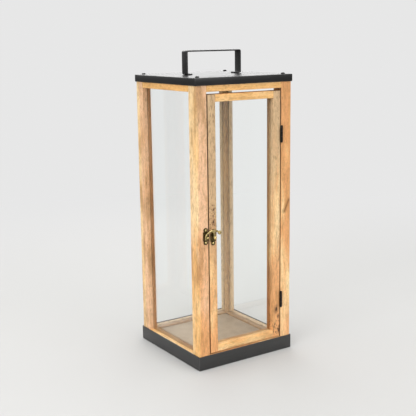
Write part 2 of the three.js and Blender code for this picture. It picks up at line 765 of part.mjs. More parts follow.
function buildBody() {
  const body = new THREE.Group();
  body.add(piece("base_tray", baseTray(), blackPaint()));
  body.add(piece("base_board", baseBoard(), board()));
  body.add(piece("cap", cap(), blackPaint()));
  body.add(piece("handle", handle(), blackPaint()));
  for (const [label, x] of Object.entries({ left: -RIVET_X, right: RIVET_X })) {
    body.add(piece(`handle_rivet_${label}`, handleRivet(), blackPaint(), [x, 0, CAP_TOP]));
  }

  const postShades = { front_left: "honey", front_right: "amber", back_left: "honey", back_right: "pale" };
  for (const [corner, sides] of Object.entries(CORNERS)) {
    const [x, y] = sides.map((side) => side * CAP_SCREW_SPOT);
    body.add(piece(`post_${corner}`, post(sides), wood(postShades[corner])));
    body.add(piece(`cap_screw_${corner}`, domedScrew(), blackPaint(), [x, y, CAP_TOP + 0.2]));
    const baseScrew = aimed(flatScrew(...BASE_SCREW), [0, 0, -1]);
    body.add(piece(`base_screw_${corner}`, baseScrew, blackPaint(), [x, y, 0.2]));
  }

  for (const side of Object.keys(SIDES)) {
    const glazed = side !== "front";
    const topRail = rail(side, TOP_RAIL_BOTTOM, WOOD_TOP, glazed ? "bottom" : null);
    const lowRailTop = glazed ? BOTTOM_RAIL_TOP : SILL_TOP;
    const lowRail = rail(side, WOOD_BOTTOM, lowRailTop, glazed ? "top" : null);
    body.add(piece(`top_rail_${side}`, topRail, wood("honey")));
    body.add(piece(`bottom_rail_${side}`, lowRail, wood("pale")));
    if (glazed) {
      body.add(piece(`pane_${side}`, pane(side), clearGlass()));
    }
  }
  return body;
}

function buildDoor() {
  const door = new THREE.Group();
  door.add(piece("door_latch_stile", latchStile(), wood("buff")));
  door.add(piece("door_hinge_stile", hingeStile(), wood("buff")));
  door.add(piece("door_top_rail", doorRail(DOOR_OPENING.top, DOOR_TOP), wood("pale")));
  door.add(piece("door_bottom_rail", doorRail(DOOR_BOTTOM, DOOR_OPENING.bottom), wood("pale")));
  door.add(piece("door_pane", doorPane(), clearGlass()));
  return door;
}

function buildHinges() {
  const hinges = new THREE.Group();
  for (const which of Object.keys(HINGE_HEIGHTS)) {
    hinges.add(hingeLeafGroup(which, 1));
    hinges.add(hingeLeafGroup(which, -1));
    const place = [HINGE_X, HINGE_Y, HINGE_HEIGHTS[which]];
    hinges.add(piece(`hinge_${which}_pin`, hingePin(), blackPaint(), place));
  }
  return hinges;
}

function buildLatch() {
  const latch = new THREE.Group();
  const keeperPlate = latchPlate(KEEPER, { x: STUD.x, z: STUD.z, radius: STUD.bore });
  latch.add(piece("keeper_plate", keeperPlate, agedBrass()));
  latch.add(piece("keeper_stud", keeperStud(), agedBrass(), [STUD.x, PLATE_FACE, STUD.z]));
  latch.add(...platedNails("keeper", keeperNailSpots()));
  const pivotPlate = latchPlate(PIVOT_PLATE, { x: PIVOT.x, z: PIVOT.z, radius: PIVOT.bore });
  latch.add(piece("latch_plate", pivotPlate, agedBrass()));
  latch.add(...platedNails("latch", pivotNailSpots()));
  latch.add(piece("latch_arm", latchArm(), agedBrass(), [PIVOT.x, FRONT, PIVOT.z]));
  latch.add(piece("latch_pivot_screw", pivotScrew(), agedBrass(), [PIVOT.x, FRONT, PIVOT.z]));
  return latch;
}

const lantern = new THREE.Group();
lantern.add(buildBody(), buildDoor(), buildHinges(), buildLatch());

export default lantern;
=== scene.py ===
"""The looks of a candle lantern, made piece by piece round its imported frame.

Metres, +Z up. The door is on the -Y side, with its hinges at +X and its latch at -X.
"""

import json
import math
from contextlib import contextmanager
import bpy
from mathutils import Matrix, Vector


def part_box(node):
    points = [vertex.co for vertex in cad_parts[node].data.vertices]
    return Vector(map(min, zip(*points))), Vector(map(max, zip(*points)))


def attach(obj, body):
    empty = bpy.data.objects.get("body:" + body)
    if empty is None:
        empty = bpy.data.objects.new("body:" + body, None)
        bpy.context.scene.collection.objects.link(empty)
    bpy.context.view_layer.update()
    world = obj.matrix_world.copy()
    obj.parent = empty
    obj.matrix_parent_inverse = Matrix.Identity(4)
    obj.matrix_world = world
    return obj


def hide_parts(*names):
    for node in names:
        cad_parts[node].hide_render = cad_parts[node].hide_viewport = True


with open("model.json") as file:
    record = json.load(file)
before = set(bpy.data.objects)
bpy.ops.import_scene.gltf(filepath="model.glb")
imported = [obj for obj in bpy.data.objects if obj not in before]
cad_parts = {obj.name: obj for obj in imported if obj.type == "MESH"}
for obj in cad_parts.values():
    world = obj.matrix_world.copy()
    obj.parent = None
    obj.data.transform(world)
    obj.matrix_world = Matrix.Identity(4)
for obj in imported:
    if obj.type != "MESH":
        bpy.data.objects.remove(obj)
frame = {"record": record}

from types import SimpleNamespace

import bmesh
import bpy
from bpy.props import FloatProperty, FloatVectorProperty, PointerProperty
from bpy.types import Operator, Panel, PropertyGroup
from mathutils import Matrix, Vector

bl_info = {
    "name": "Candle Lantern",
    "version": (1, 0, 0),
    "blender": (4, 5, 0),
    "location": "View3D > Sidebar > Lantern",
    "description": "Builds a wooden candle lantern with glass sides, a hinged door and a sheet-metal cap",
    "category": "Add Mesh",
}

MM = 0.001
PLAY = 0.01 * MM  # places nearer than this are the same
X, Y, Z = 0, 1, 2
UP = (0, 0, 1)
DOWN = (0, 0, -1)
FRONT = (0, -1, 0)
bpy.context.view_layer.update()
RECORD = frame["record"]
BODY_OF = {node: body for body, nodes in RECORD["behaviour"]["bodies"].items() for node in nodes}
SLOT_OF = {part["node"]: part["material_slot"] for part in RECORD["subparts"]}
STUFF = {
    "frame_wood": "wood",
    "door_wood": "wood",
    "floor_board": "board",
    "black_metal": "metal",
    "black_hinge": "steel",
    "black_fastener": "steel",
    "aged_brass": "brass",
    "clear_glass": "glass",
}
CORNERS = ("front_left", "front_right", "back_left", "back_right")
CAP_SCREWS = tuple(f"cap_screw_{corner}" for corner in CORNERS)
BASE_SCREWS = tuple(f"base_screw_{corner}" for corner in CORNERS)
PANES = ("pane_left", "pane_right", "pane_back", "door_pane")
RIVETS = ("handle_rivet_left", "handle_rivet_right")

# ---- Fixed sizes ----

GLASS_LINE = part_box("pane_right")[0].x + 0.2 * MM  # the wood nearer the middle than this gets painted shade for the dimmer light inside the panes
GAP_SHADE_DEPTH = 0.4 * MM  # how far the painted shade of the door's gap reaches round an edge beside the door
EDGE_WEAR = 1.1 * MM  # how far the rubbed band on a painted edge reaches
GROOVE_PLAY = 0.3 * MM  # between a pane and its groove
FOOT_PAST_RIVET = 4.8 * MM
BEND_STEPS = 8
DOME_TIP = 0.12  # the flat tip of a rounded head, against its rim
WOOD_SCREW_LENGTH = 20  # millimetres, under the head
FIRST_TURN, NEXT_TURN = 25, 67  # degrees, how far round each driven screw ended up
HINGE_HALF = 14  # millimetres, half of a hinge's height
KNUCKLE_GAP = 0.3  # millimetres
HINGE_SCREW_RISE = 7  # millimetres, above or below the hinge's middle
LEAF_NEAR, LEAF_FAR = 0.15, 0.75  # millimetres, a leaf's two faces from the seam's middle
PLATE_LOBE = 4  # millimetres, radius of a latch plate's round ends
HOOK_CURVE = ((8.8, 8), (4.6, 10.6), (0, 12), (-6, 12.2), (-12.1, 10.2), (-16.7, 6), (-18.4, 1), (-18.2, -2))
HOOK_WIDTHS = (3.0, 3.5, 3.8, 3.8, 3.6, 3.3, 2.9, 2.4)
STEM_CURVE = ((0, 0), (-0.6, 6), (-1.4, 12))
STEM_WIDTHS = (4.0, 4.2, 4.4)
ARM_BACK, ARM_THICKNESS = 3.2, 2.5  # millimetres, in front of the wood
FLOOR_LEVEL = -0.1 * MM  # just clear of the tray, so that the tray's underside shows from below
FLOOR_RADIUS, FLOOR_RIM = 40, 30
TRAY_MARGIN = 4 * MM  # how far inside the tray's sides the floor is cleared
BACKDROP = (0.8, 0.8, 0.8)
BACKDROP_THROUGH_GLASS = 1.06  # makes up for what the glass takes
STUDIO_DARK = (0.09, 0.09, 0.09)
SKY = (1.0, 0.995, 0.985)
SKY_LOW, SKY_HIGH, SKY_HIGH_FROM = 0.55, 0.85, 0.8
SOFTBOXES = {  # place, target, size and watts
    "side_softbox": ((-2.1, -0.9, 1.1), (0, 0, 0.3), (1.6, 1.6), 26),
    "front_softbox": ((0.6, -2.6, 1.5), (0, 0, 0.3), (1.8, 1.4), 23),
    "top_softbox": ((0.0, 0.3, 2.3), (0, 0, 0.2), (2.2, 2.2), 12),
    "back_softbox": ((0.9, 2.6, 1.6), (0, 0, 0.45), (2.6, 1.4), 32),
}
CAMERA_PLACE = Vector((-0.8156, -1.2185, 0.5637))
CAMERA_YAW, CAMERA_PITCH, CAMERA_ROLL = 33.39, -11.78, -0.79  # degrees
CAMERA_LENS, CAMERA_SENSOR = 71.4, 36  # millimetres


# ---- Sizes and colours that a user would change ----


def tint(code):
    """A colour as Blender wants it, from the usual six-digit code."""
    shares = [int(code[at : at + 2], 16) / 255 for at in (1, 3, 5)]
    return tuple(v / 12.92 if v <= 0.04045 else ((v + 0.055) / 1.055) ** 2.4 for v in shares)


def toned(colour, times, more=0.0):
    return tuple(share * times + more for share in colour)


def length(name, default_mm, description):
    return FloatProperty(
        name=name, description=description, default=default_mm * MM,
        unit="LENGTH", subtype="DISTANCE", precision=5,
    )


def colour(name, code, description):
    return FloatVectorProperty(
        name=name, default=tint(code), subtype="COLOR", size=3, min=0.0, max=1.0, description=description
    )


class LanternSizes(PropertyGroup):
    """Sizes of the lantern's details"""

    sheet: length("Sheet thickness", 1.6, "Thickness of the tray's and the cap's sheet metal")
    fold: length("Fold radius", 1.3, "Outer radius where the sheet metal is folded")
    arris: length("Wood arris", 0.9, "Radius of the long edges of the wooden members")
    board_edge: length("Board edge", 0.6, "Radius of the candle board's edges")
    strip: length("Handle strip", 2.5, "Thickness of the handle's strip")
    bend: length("Handle bend", 3.6, "Outer radius of the handle's bends")


class LanternColours(PropertyGroup):
    """Colours of the lantern's finishes"""

    wood_pale: colour("Pale wood", "#fadba8", "The lightest sapwood")
    wood_honey: colour("Honey wood", "#eeb974", "The yellower sapwood")
    wood_rose: colour("Rosy wood", "#eec199", "The lighter heartwood")
    wood_orange: colour("Orange wood", "#e4a66e", "The warmer heartwood")
    wood_streak: colour("Brown streak", "#a87640", "Streaks that run with the grain")
    # Grey wood is also laid thick on members seen through two panes, as painted reflection of the glass.
    wood_grey: colour("Grey wood", "#c4a580", "Patches that have greyed")
    wood_mark: colour("Dark mark", "#6e4c2e", "Short dark marks and the rings round a knot")
    # Painted shade: this colour is multiplied onto the wood inside the panes, where less light reaches
    wood_inner: colour("Inner shade", "#d3c5b0", "What darkens the wood inside the panes")
    wood_knot: colour("Knot", "#3a2216", "The heart of a knot")
    paint: colour("Black paint", "#2a2a2a", "Powder coat on the tray, the cap and the handle")
    steel: colour("Black steel", "#1c1a18", "Hinges and screws")
    # Laid on for wear and, on the nails' domes, as painted highlight.
    brass: colour("Aged brass", "#ac9a6a", "The latch where it is rubbed bright")
    patina: colour("Brass patina", "#3a2f1a", "The latch in its recesses")
    board: colour("Candle board", "#b49c80", "The floor inside the lantern")
    floor: colour("Floor", "#cbcbca", "The studio floor")


# ---- Shader nodes ----


class Wire:
    """A shader node's output; arithmetic on one that carries a number adds the Math nodes."""

    def __init__(self, nodes, socket):
        self.nodes = nodes
        self.socket = socket

    def math(self, operation, *values):
        return self.nodes.node("Math", dict(enumerate(values)), operation=operation)

    def __add__(self, other):
        return self.math("ADD", self, other)

    __radd__ = __add__

    def __sub__(self, other):
        return self.math("SUBTRACT", self, other)

    def __rsub__(self, other):
        return self.math("SUBTRACT", other, self)

    def __mul__(self, other):
        return self.math("MULTIPLY", self, other)

    __rmul__ = __mul__

    def __truediv__(self, other):
        return self.math("DIVIDE", self, other)

    def __pow__(self, other):
        return self.math("POWER", self, other)

    def __abs__(self):
        return self.math("ABSOLUTE", self)

    def at_least(self, other):
        return self.math("MAXIMUM", self, other)

    def at_most(self, other):
        return self.math("MINIMUM", self, other)

    def ramp(self, low, high):
        """0 below low, 1 above high and a smooth rise between them."""
        limits = {"Value": self, "From Min": low, "From Max": high}
        return self.nodes.node("MapRange", limits, interpolation_type="SMOOTHSTEP")


class Nodes:
    """A node tree in the making."""

    def __init__(self, tree, output):
        self.tree = tree
        tree.nodes.clear()
        self.output = tree.nodes.new("ShaderNode" + output)

    def node(self, kind, inputs=(), output=0, **settings):
        """Adds a node: its settings first, then a value or a link for each named socket."""
        made = self.tree.nodes.new("ShaderNode" + kind)
        for key, value in settings.items():
            setattr(made, key, value)
        for key, value in dict(inputs).items():
            self.feed(made.inputs[key], value)
        return Wire(self, made.outputs[output])

    def feed(self, socket, value):
        if isinstance(value, Wire):
            self.tree.links.new(value.socket, socket)
        elif socket.type == "RGBA":
            socket.default_value = (*value, 1.0)
        else:
            socket.default_value = value

    def show(self, shader):
        self.feed(self.output.inputs["Surface"], shader)

    def axes(self, vector):
        first = self.node("SeparateXYZ", {0: vector})
        return [Wire(self, socket) for socket in first.socket.node.outputs]

    def ray(self, kind):
        """1 for light rays of one kind."""
        return self.node("LightPath", output=f"Is {kind} Ray")

    def seen(self):
        """1 for what the camera sees, straight or through glass."""
        return (self.ray("Camera") + self.ray("Transmission")).at_most(1.0)

    def either(self, share, first, second):
        """Two shaders mixed; a share of 0 is the first and 1 the second."""
        return self.node("MixShader", {0: share, 1: first, 2: second})

    def backdrop(self, kind):
        """The studio's pale backdrop, made of shaders of one kind."""
        plain = self.node(kind, {"Color": BACKDROP, "Strength": 1.0})
        through_glass = self.node(kind, {"Color": BACKDROP, "Strength": BACKDROP_THROUGH_GLASS})
        return self.either(self.ray("Transmission"), plain, through_glass)


class Finish(Nodes):
    """A material in the making, with one Principled shader. Its tone is its colour so far."""

    def __init__(self, name, tone, **constants):
        self.material = bpy.data.materials.new(name)
        self.material.use_nodes = True
        super().__init__(self.material.node_tree, "OutputMaterial")
        self.surface = self.node("BsdfPrincipled")
        self.show(self.surface)
        self.tone = tone
        self.set(base_color=tone, **constants)
        self.place = self.node("TexCoord", output="Object")
        self.normal = None

    def set(self, **sockets):
        """Feeds sockets of the shader, named with underscores for spaces."""
        for name, value in sockets.items():
            label = name.replace("_", " ").title().replace("Ior", "IOR")
            self.feed(self.surface.socket.node.inputs[label], value)

    def mapped(self, scale, shift=(0, 0, 0), vector=None):
        return self.node("Mapping", {"Vector": vector or self.place, "Scale": scale, "Location": shift})

    def noise(self, scale, detail=2.0, roughness=0.5, vector=None, output="Fac"):
        inputs = {"Vector": vector or self.place, "Scale": scale, "Detail": detail, "Roughness": roughness}
        return self.node("TexNoise", inputs, output)

    def blend(self, first, second, share, mode="MIX"):
        """Two colours mixed; a share of 0 is the first and 1 the second."""
        factor, a, b, result = 0, 6, 7, 2  # the sockets that a colour Mix node uses
        inputs = {factor: share, a: first, b: second}
        return self.node("Mix", inputs, result, data_type="RGBA", blend_type=mode)

    def lay(self, colour, share, mode="MIX"):
        """Lays a colour over the tone so far, as far as share says."""
        self.tone = self.blend(self.tone, colour, share, mode)
        self.set(base_color=self.tone)

    def bump(self, height, depth):
        """A bump over the earlier ones; depth is the real height of 1."""
        inputs = {"Height": height, "Distance": depth}
        if self.normal is not None:
            inputs["Normal"] = self.normal
        self.normal = self.node("Bump", inputs)
        self.set(normal=self.normal)


# ---- Wood ----

# The patterns in the wood: how many times each is drawn out along the grain, its scale, and its detail
# and roughness where they aren't the usual ones
WOOD_PATTERNS = {
    "patch": (2.5, 21),
    "figure": (8, 105, 3),
    "stain": (5, 62, 3, 0.6),
    "streak": (11, 330, 3, 0.6),
    "dash": (5, 520),
    "speck": (1.6, 420, 1),
    "mottle": (2.2, 400, 3, 0.65),
    "fleck": (0.6, 620, 1),
    "cloud": (3, 75),
    "fine": (14, 1000),
    "fibre": (40, 2600, 1),
    "pore": (16, 3000, 0),
}
SWAY = 11 * MM  # how far the grain wanders to the side
PITH = (34 * MM, -20.4 * MM)  # where the tree's middle lies across the grain, from the member's
LAYERS_ALONG = 0.25  # how fast the growth layers change along the grain, against across it
SPECK_FADE = 6 * MM


class Wood(Finish):
    """The wood of one member in the making, with its grain along the member's longest side."""

    def __init__(self, name, colours, node, seed):
        super().__init__(name, colours.wood_pale, specular_ior_level=0.35)
        self.colours = colours
        self.seed = seed
        self.shift = (seed * 1.37, seed * 2.11, seed * 3.07)
        self.low, self.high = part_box(node)
        self.middle = middle_of(node)
        self.along = longest_axis(self.low, self.high)
        self.at = self.axes(self.place)
        length = (self.high - self.low)[self.along]
        self.height = (self.at[self.along] - self.middle[self.along]) / length
        drift = self.noise(20, 1.5, vector=self.drawn_out(self.place, 3.5), output="Color")
        sway = [SWAY] * 3
        sway[self.along] = 0.0
        swayed = {0: drift, 1: sway, 2: self.place}
        self.grain = self.node("VectorMath", swayed, operation="MULTIPLY_ADD")

    def drawn_out(self, vector, times):
        """Coordinates in which a pattern is drawn out along the grain."""
        scale = [1.0, 1.0, 1.0]
        scale[self.along] = 1.0 / times
        return self.mapped(scale, self.shift, vector)

    def pattern(self, times, scale, detail=2, roughness=0.55):
        return self.noise(scale, detail, roughness, self.drawn_out(self.grain, times))

    def part_round(self, knots):
        """Bends the grain round each knot; returns where the knots' hearts and their rings are."""
        wobble = self.noise(160, vector=self.drawn_out(self.grain, 3)) - 0.5
        heart = rings = 0.0
        for x, z, radius in knots:
            gap = [at - spot for at, spot in zip(self.at, (x * MM, self.low.y, z * MM))]
            gap[self.along] = gap[self.along] * 0.5
            away = (gap[X] * gap[X] + gap[Y] * gap[Y] + gap[Z] * gap[Z]) ** 0.5 / (radius * MM)
            near = 1 - (away / 4).at_most(1.0)
            push = [part * near * near * -1.6 for part in gap]
            push[self.along] = 0.0
            moved = self.node("CombineXYZ", dict(enumerate(push)))
            self.grain = self.node("VectorMath", {0: self.grain, 1: moved}, operation="ADD")
            heart = (1 - (away + wobble).ramp(0.5, 0.95)).at_least(heart)
            rings = (1 - (away / 2.6 + wobble * 1.1).ramp(0.25, 1.0)).at_least(rings)
        return heart, rings

    def growth_layers(self, grown):
        """Bands at a distance from a pith that lies outside the member."""
        across = [axis for axis in (X, Y, Z) if axis != self.along]
        reach = [grown[axis] - (self.middle[axis] + offset) for axis, offset in zip(across, PITH)]
        layer = (reach[0] * reach[0] + reach[1] * reach[1]) ** 0.5
        line = self.node("CombineXYZ", {0: layer, 1: self.seed, 2: self.at[self.along] * LAYERS_ALONG})
        return self.noise(230, 2.0, 0.6, line)

    def heartwood(self, heart, rise, grown, drawn):
        """1 on the rosy heartwood and 0 on the pale sapwood."""
        if isinstance(heart, tuple):
            axis, edge, side = heart
            past = (grown[axis] - (self.middle[axis] + edge * MM + SWAY / 2)) * side
            return (past / (9 * MM) + (drawn.stain - 0.5) * 1.1).ramp(-0.25, 0.3)
        share = self.height * rise + heart + (drawn.patch - 0.5) * 1.2 + (drawn.figure - 0.5) * 0.7
        return share.ramp(0.3, 0.7)

    def lay_crack(self, start, end, stain):
        """A slanting dark streak between two places in X and Z, with a dark line in it."""
        start, end = (Vector(place) * MM for place in (start, end))
        way = (end - start).normalized()
        span = (end - start).length
        x, z = self.at[X] - start.x, self.at[Z] - start.y
        gone = x * way.x + z * way.y
        off = abs(z * way.x - x * way.y + (stain - 0.5) * (5 * MM))
        within = gone.ramp(-2 * MM, 4 * MM) * (span - gone).ramp(-2 * MM, 4 * MM)
        self.lay(self.colours.wood_streak, within * (1 - off.ramp(1 * MM, 6 * MM)) * 0.7)
        self.lay(self.colours.wood_mark, within * (1 - off.ramp(0.3 * MM, 1.3 * MM)) * 0.8)

    def lay_seam(self, side):
        """Painted shade on the member's left or right side, in the gap beside the door."""
        edge = self.high.x - GAP_SHADE_DEPTH if side > 0 else self.low.x + GAP_SHADE_DEPTH
        past = ((self.at[X] - edge) * side).ramp(0.0, 0.5 * MM)
        outside = (abs(self.at[Y]) - GLASS_LINE).ramp(0.0, 1 * MM)
        self.lay(self.colours.wood_knot, past * outside * 0.75)

    def indoors(self):
        """1 inside the panes, where the wood gets painted shade for the light that the panes and the cap
        keep out.
        """
        inside = [(GLASS_LINE - abs(self.at[axis])).ramp(0.0, 1 * MM) for axis in (X, Y)]
        return inside[X] * inside[Y]


def mango_wood(
    name, colours, node, seed, heart, orange=0.5, streaks=0.5, grey=0.1,
    rise=(0, 0, 0), shade=(1, 1), painted_shade_depth=1.0, specks=None, knots=(), crack=None, seam=None,
):
    """Light oiled mango wood for one member; places and sizes are in millimetres.

    heart: the share of rosy heartwood, or its axis, its edge from the member's middle, and its side.
    orange, streaks, grey: how much of each there is.
    rise: what heart, orange and grey gain from one end to the other.
    shade: the brightness at the two ends, painted light and shade (on the back right post, the pale
    reflection of the door's glass, stronger towards the bottom).
    painted_shade_depth: how many times the painted inner shade is laid on inside the panes.
    specks: the stretch where dark specks crowd together.
    knots: X, Z and radius of each, on the member's front.
    crack: the two ends, in X and Z, of a slanting dark streak.
    seam: 1 or -1 for painted shade of the door's gap on the member's right or left side.
    """
    wood = Wood(name, colours, node, seed)
    orange = wood.height * rise[1] + orange
    grey = (wood.height * rise[2] + grey).at_least(0.0)
    knot, knot_rings = wood.part_round(knots)
    grown = wood.axes(wood.grain)
    bands = wood.growth_layers(grown)
    drawn = SimpleNamespace(**{name: wood.pattern(*recipe) for name, recipe in WOOD_PATTERNS.items()})

    sap_tone = drawn.figure * 0.7 + drawn.patch * 0.9 + orange * 0.5 - 0.65
    heart_tone = drawn.figure * 0.8 + drawn.patch * 0.8 + orange - 0.95
    heartwood = wood.blend(colours.wood_rose, colours.wood_orange, heart_tone.ramp(0.05, 0.6))
    wood.lay(colours.wood_honey, sap_tone.ramp(0.1, 0.6))
    wood.lay(heartwood, wood.heartwood(heart, rise[0], grown, drawn))

    spalt = drawn.stain + (drawn.patch - 0.5) * 0.8 + streaks * 0.12
    spalt_depth = (0.5 + drawn.figure * 0.9).at_most(1.0) * (0.14 + 0.62 * streaks)
    ashen = drawn.patch * 0.5 + drawn.stain * 0.5 + grey * 0.5 - 0.5
    crowd = drawn.dash - 0.56 + grey * 0.06 + (drawn.stain - 0.5) * 0.25
    wood.lay(colours.wood_streak, (bands - 0.48).ramp(0.0, 0.2) * (0.15 + 0.2 * streaks))
    wood.lay(colours.wood_streak, (drawn.streak - 0.53).ramp(0.0, 0.2) * (0.15 + 0.4 * streaks))
    wood.lay(colours.wood_streak, spalt.ramp(0.6, 0.78) * spalt_depth)
    # Grey patches; on members seen through two panes, laid thick as painted reflection of the glass.
    wood.lay(colours.wood_grey, ashen.ramp(0.0, 0.25) * (grey * 1.3).at_most(0.85))
    wood.lay(colours.wood_mark, crowd.ramp(0.0, 0.14) * (grey * 0.25 + 0.22))
    if specks:
        start, end = (place * MM for place in specks)
        along = wood.at[wood.along]
        zone = (along - start).ramp(0.0, SPECK_FADE) * (end - along).ramp(0.0, SPECK_FADE)
        wood.lay(colours.wood_mark, zone * (drawn.speck + drawn.stain * 0.3 - 0.72).ramp(0.0, 0.07) * 0.8)
    wood.lay(colours.wood_mark, (drawn.pore - 0.69).ramp(0.0, 0.1) * 0.35)
    small = drawn.fine * 0.16 + drawn.fibre * 0.12 + drawn.mottle * 0.6 + drawn.fleck * 0.3
    wood.lay(0.4 + small + drawn.cloud * 0.16, 1.0, "MULTIPLY")
    if knots:
        wood.lay(colours.wood_mark, knot_rings * 0.6)
        wood.lay(colours.wood_knot, knot * 0.92)
    if crack:
        wood.lay_crack(*crack, drawn.stain)

    # The ends soak up more oil, and look darker.
    facing = wood.axes(wood.node("TexCoord", output="Normal"))[wood.along]
    end_grain = abs(facing).ramp(0.6, 0.9)
    # Painted light and shade from one end of the member to the other, multiplied in with the darker ends.
    lit = (wood.height + 0.5) * (shade[1] - shade[0]) + shade[0]
    wood.lay((1 - end_grain * 0.4) * lit, 1.0, "MULTIPLY")
    # Painted shade in the gap beside the door, on the member's side face.
    if seam:
        wood.lay_seam(seam)
    # Painted shade on the wood inside the panes, where less light reaches.
    wood.lay([share**painted_shade_depth for share in colours.wood_inner], wood.indoors(), "MULTIPLY")

    wood.set(roughness=0.5 + (drawn.streak - 0.5) * 0.25 + end_grain * 0.2)
    pits = 1 - (drawn.pore - 0.68).ramp(0.0, 0.08)
    wood.bump(drawn.fibre * 0.3 + drawn.fine * 0.3 + pits * 0.4, 0.07 * MM)
    wood.bump(bands * 0.5 + drawn.figure * 0.5, 0.15 * MM)
    return wood.material


# ---- Other materials ----


def edge_nearness(finish, low, high):
    """1 on the outer edges of a box and 0 a little way off them."""
    x, y, z = (
        (end - start) / 2 - abs(at - (start + end) / 2)
        for at, start, end in zip(finish.axes(finish.place), low, high)
    )
    second = x.at_least(y).at_most(y.at_least(z)).at_most(x.at_least(z))
    return 1 - second.ramp(EDGE_WEAR * 0.2, EDGE_WEAR)


def black_paint(name, colours, node, depth):
    """Satin black powder coat, a little lighter where its edges have been handled."""
    # Each piece gets its own brightness of the same black paint; the cap's low value is painted shade on its
    # skirt.
    paint = toned(colours.paint, depth)
    finish = Finish(name, paint, specular_ior_level=0.5)
    peel = finish.noise(900, 1.0)
    grit = finish.noise(4200, 1.0)
    cloud = finish.noise(22, 3.0, 0.6)
    smear = finish.noise(60, 3.0, 0.7, finish.mapped((1, 1, 3), (3, 1, 2)))
    edges = edge_nearness(finish, *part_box(node))
    finish.lay(toned(paint, 1.5), cloud.ramp(0.4, 0.75) * 0.6)
    finish.lay(toned(paint, 3.4, 0.02), edges * (smear * 1.5).ramp(0.35, 0.95) * 0.5)
    finish.set(roughness=0.36 + (cloud - 0.5) * 0.14 + (smear - 0.5) * 0.1)
    finish.bump(peel * 0.8 + grit * 0.2, 0.03 * MM)
    return finish.material


def black_steel(name, colours):
    finish = Finish(name, colours.steel, metallic=0.6, specular_ior_level=0.5)
    cloud = finish.noise(260, 3.0, 0.6)
    rub = finish.noise(800, vector=finish.mapped((1, 1, 0.3)))
    finish.lay(toned(colours.steel, 3.2, 0.01), cloud.ramp(0.55, 0.8) * 0.6)
    finish.set(roughness=0.34 + (rub - 0.5) * 0.3)
    finish.bump(rub, 0.02 * MM)
    return finish.material


def aged_brass(name, colours, rubbed):
    """Brass under a dark patina that is rubbed bright in places, and painted with highlight where rubbed is
    high, as on the nails' domes.
    """
    finish = Finish(name, colours.patina, specular_ior_level=0.5, metallic=1.0)
    cloud = finish.noise(420, 3.0, 0.65)
    fine = finish.noise(2600)
    rubbed_and_highlit = ((cloud - 0.5) * 1.3 + rubbed).ramp(0.1, 0.95)
    finish.lay(colours.brass, rubbed_and_highlit)
    # A paler brass where rubbed is high: wear, with painted highlight on the nails' domes.
    finish.lay(toned(colours.brass, 1.7), (rubbed_and_highlit + rubbed - 1.2).ramp(0.1, 0.7))
    finish.set(roughness=0.42 - rubbed_and_highlit * 0.2 + (fine - 0.5) * 0.16)
    finish.bump(fine * 0.5 + cloud * 0.5, 0.04 * MM)
    return finish.material


def candle_board(name, colours):
    """Smooth fibreboard with a soft mottle and scattered darker fibres."""
    finish = Finish(name, colours.board, specular_ior_level=0.3)
    mottle = finish.noise(60, 4.0, 0.6)
    speck = finish.noise(1400, vector=finish.mapped((1, 0.35, 1)))
    long_fibre = finish.noise(900, vector=finish.mapped((0.2, 1, 1), (5, 2, 1)))
    finish.lay(toned(colours.board, 0.8), mottle.ramp(0.35, 0.7) * 0.6)
    finish.lay(toned(colours.board, 0.5), (speck * long_fibre).ramp(0.32, 0.46) * 0.5)
    finish.set(roughness=0.62 + (mottle - 0.5) * 0.2)
    finish.bump(speck * 0.5 + long_fibre * 0.5, 0.05 * MM)
    return finish.material


def window_glass(name):
    """Clear glass that lets lamps through, with the faintest haze."""
    finish = Finish(name, (0.985, 0.995, 0.99), transmission_weight=1.0, ior=1.5)
    smear = finish.noise(14, 3.0, 0.6, finish.mapped((1, 1, 0.4)))
    finish.set(roughness=smear.ramp(0.5, 0.85) * 0.03)
    clear = finish.node("BsdfTransparent", {"Color": (0.93, 0.95, 0.94)})
    finish.show(finish.either(finish.ray("Shadow"), finish.surface, clear))
    return finish.material


# ---- Modelling by hand ----


def longest_axis(low, high):
    size = high - low
    return max((X, Y, Z), key=lambda axis: size[axis])


def middle_of(node):
    low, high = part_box(node)
    return (low + high) / 2


def start_clean():
    """Object mode, with nothing selected."""
    if bpy.context.object is not None and bpy.context.object.mode != "OBJECT":
        bpy.ops.object.mode_set(mode="OBJECT")
    bpy.ops.object.select_all(action="DESELECT")


def focus(ob):
    start_clean()
    ob.select_set(True)
    bpy.context.view_layer.objects.active = ob


def apply_place():
    """Puts the chosen object's origin back to the middle of the scene, unturned and unscaled."""
    bpy.ops.object.transform_apply(location=True, rotation=True, scale=True)


def block(low, high):
    """A box from its lowest to its highest corner."""
    start_clean()
    low, high = Vector(low), Vector(high)
    bpy.ops.mesh.primitive_cube_add(size=1, location=(low + high) / 2, scale=high - low)
    apply_place()
    return bpy.context.object


@contextmanager
def editing(ob):
    """Edit mode on one object, and object mode again at the end."""
    focus(ob)
    bpy.ops.object.mode_set(mode="EDIT")
    yield
    bpy.ops.object.mode_set(mode="OBJECT")


def select_all_faces():
    bpy.ops.mesh.select_mode(type="FACE")
    bpy.ops.mesh.select_all(action="SELECT")


def pick(kind, test):
    """In edit mode, selects the faces or edges that pass a test, and nothing else."""
    bpy.ops.mesh.select_mode(type=kind)
    bpy.ops.mesh.select_all(action="DESELECT")
    mesh = bpy.context.edit_object.data
    shape = bmesh.from_edit_mesh(mesh)
    found = [part for part in (shape.faces if kind == "FACE" else shape.edges) if test(part)]
    for part in found:
        part.select_set(True)
    shape.select_flush_mode()
    bmesh.update_edit_mesh(mesh)
    return len(found)


def same(a, b):
    return abs(a - b) < PLAY


def runs_along(edge, axis):
    a, b = (v.co for v in edge.verts)
    return all(same(a[other], b[other]) for other in (X, Y, Z) if other != axis)


def lies_at(edge, axis, *values):
    """Whether an edge lies at any of some places on an axis."""
    return any(all(same(v.co[axis], value) for v in edge.verts) for value in values)


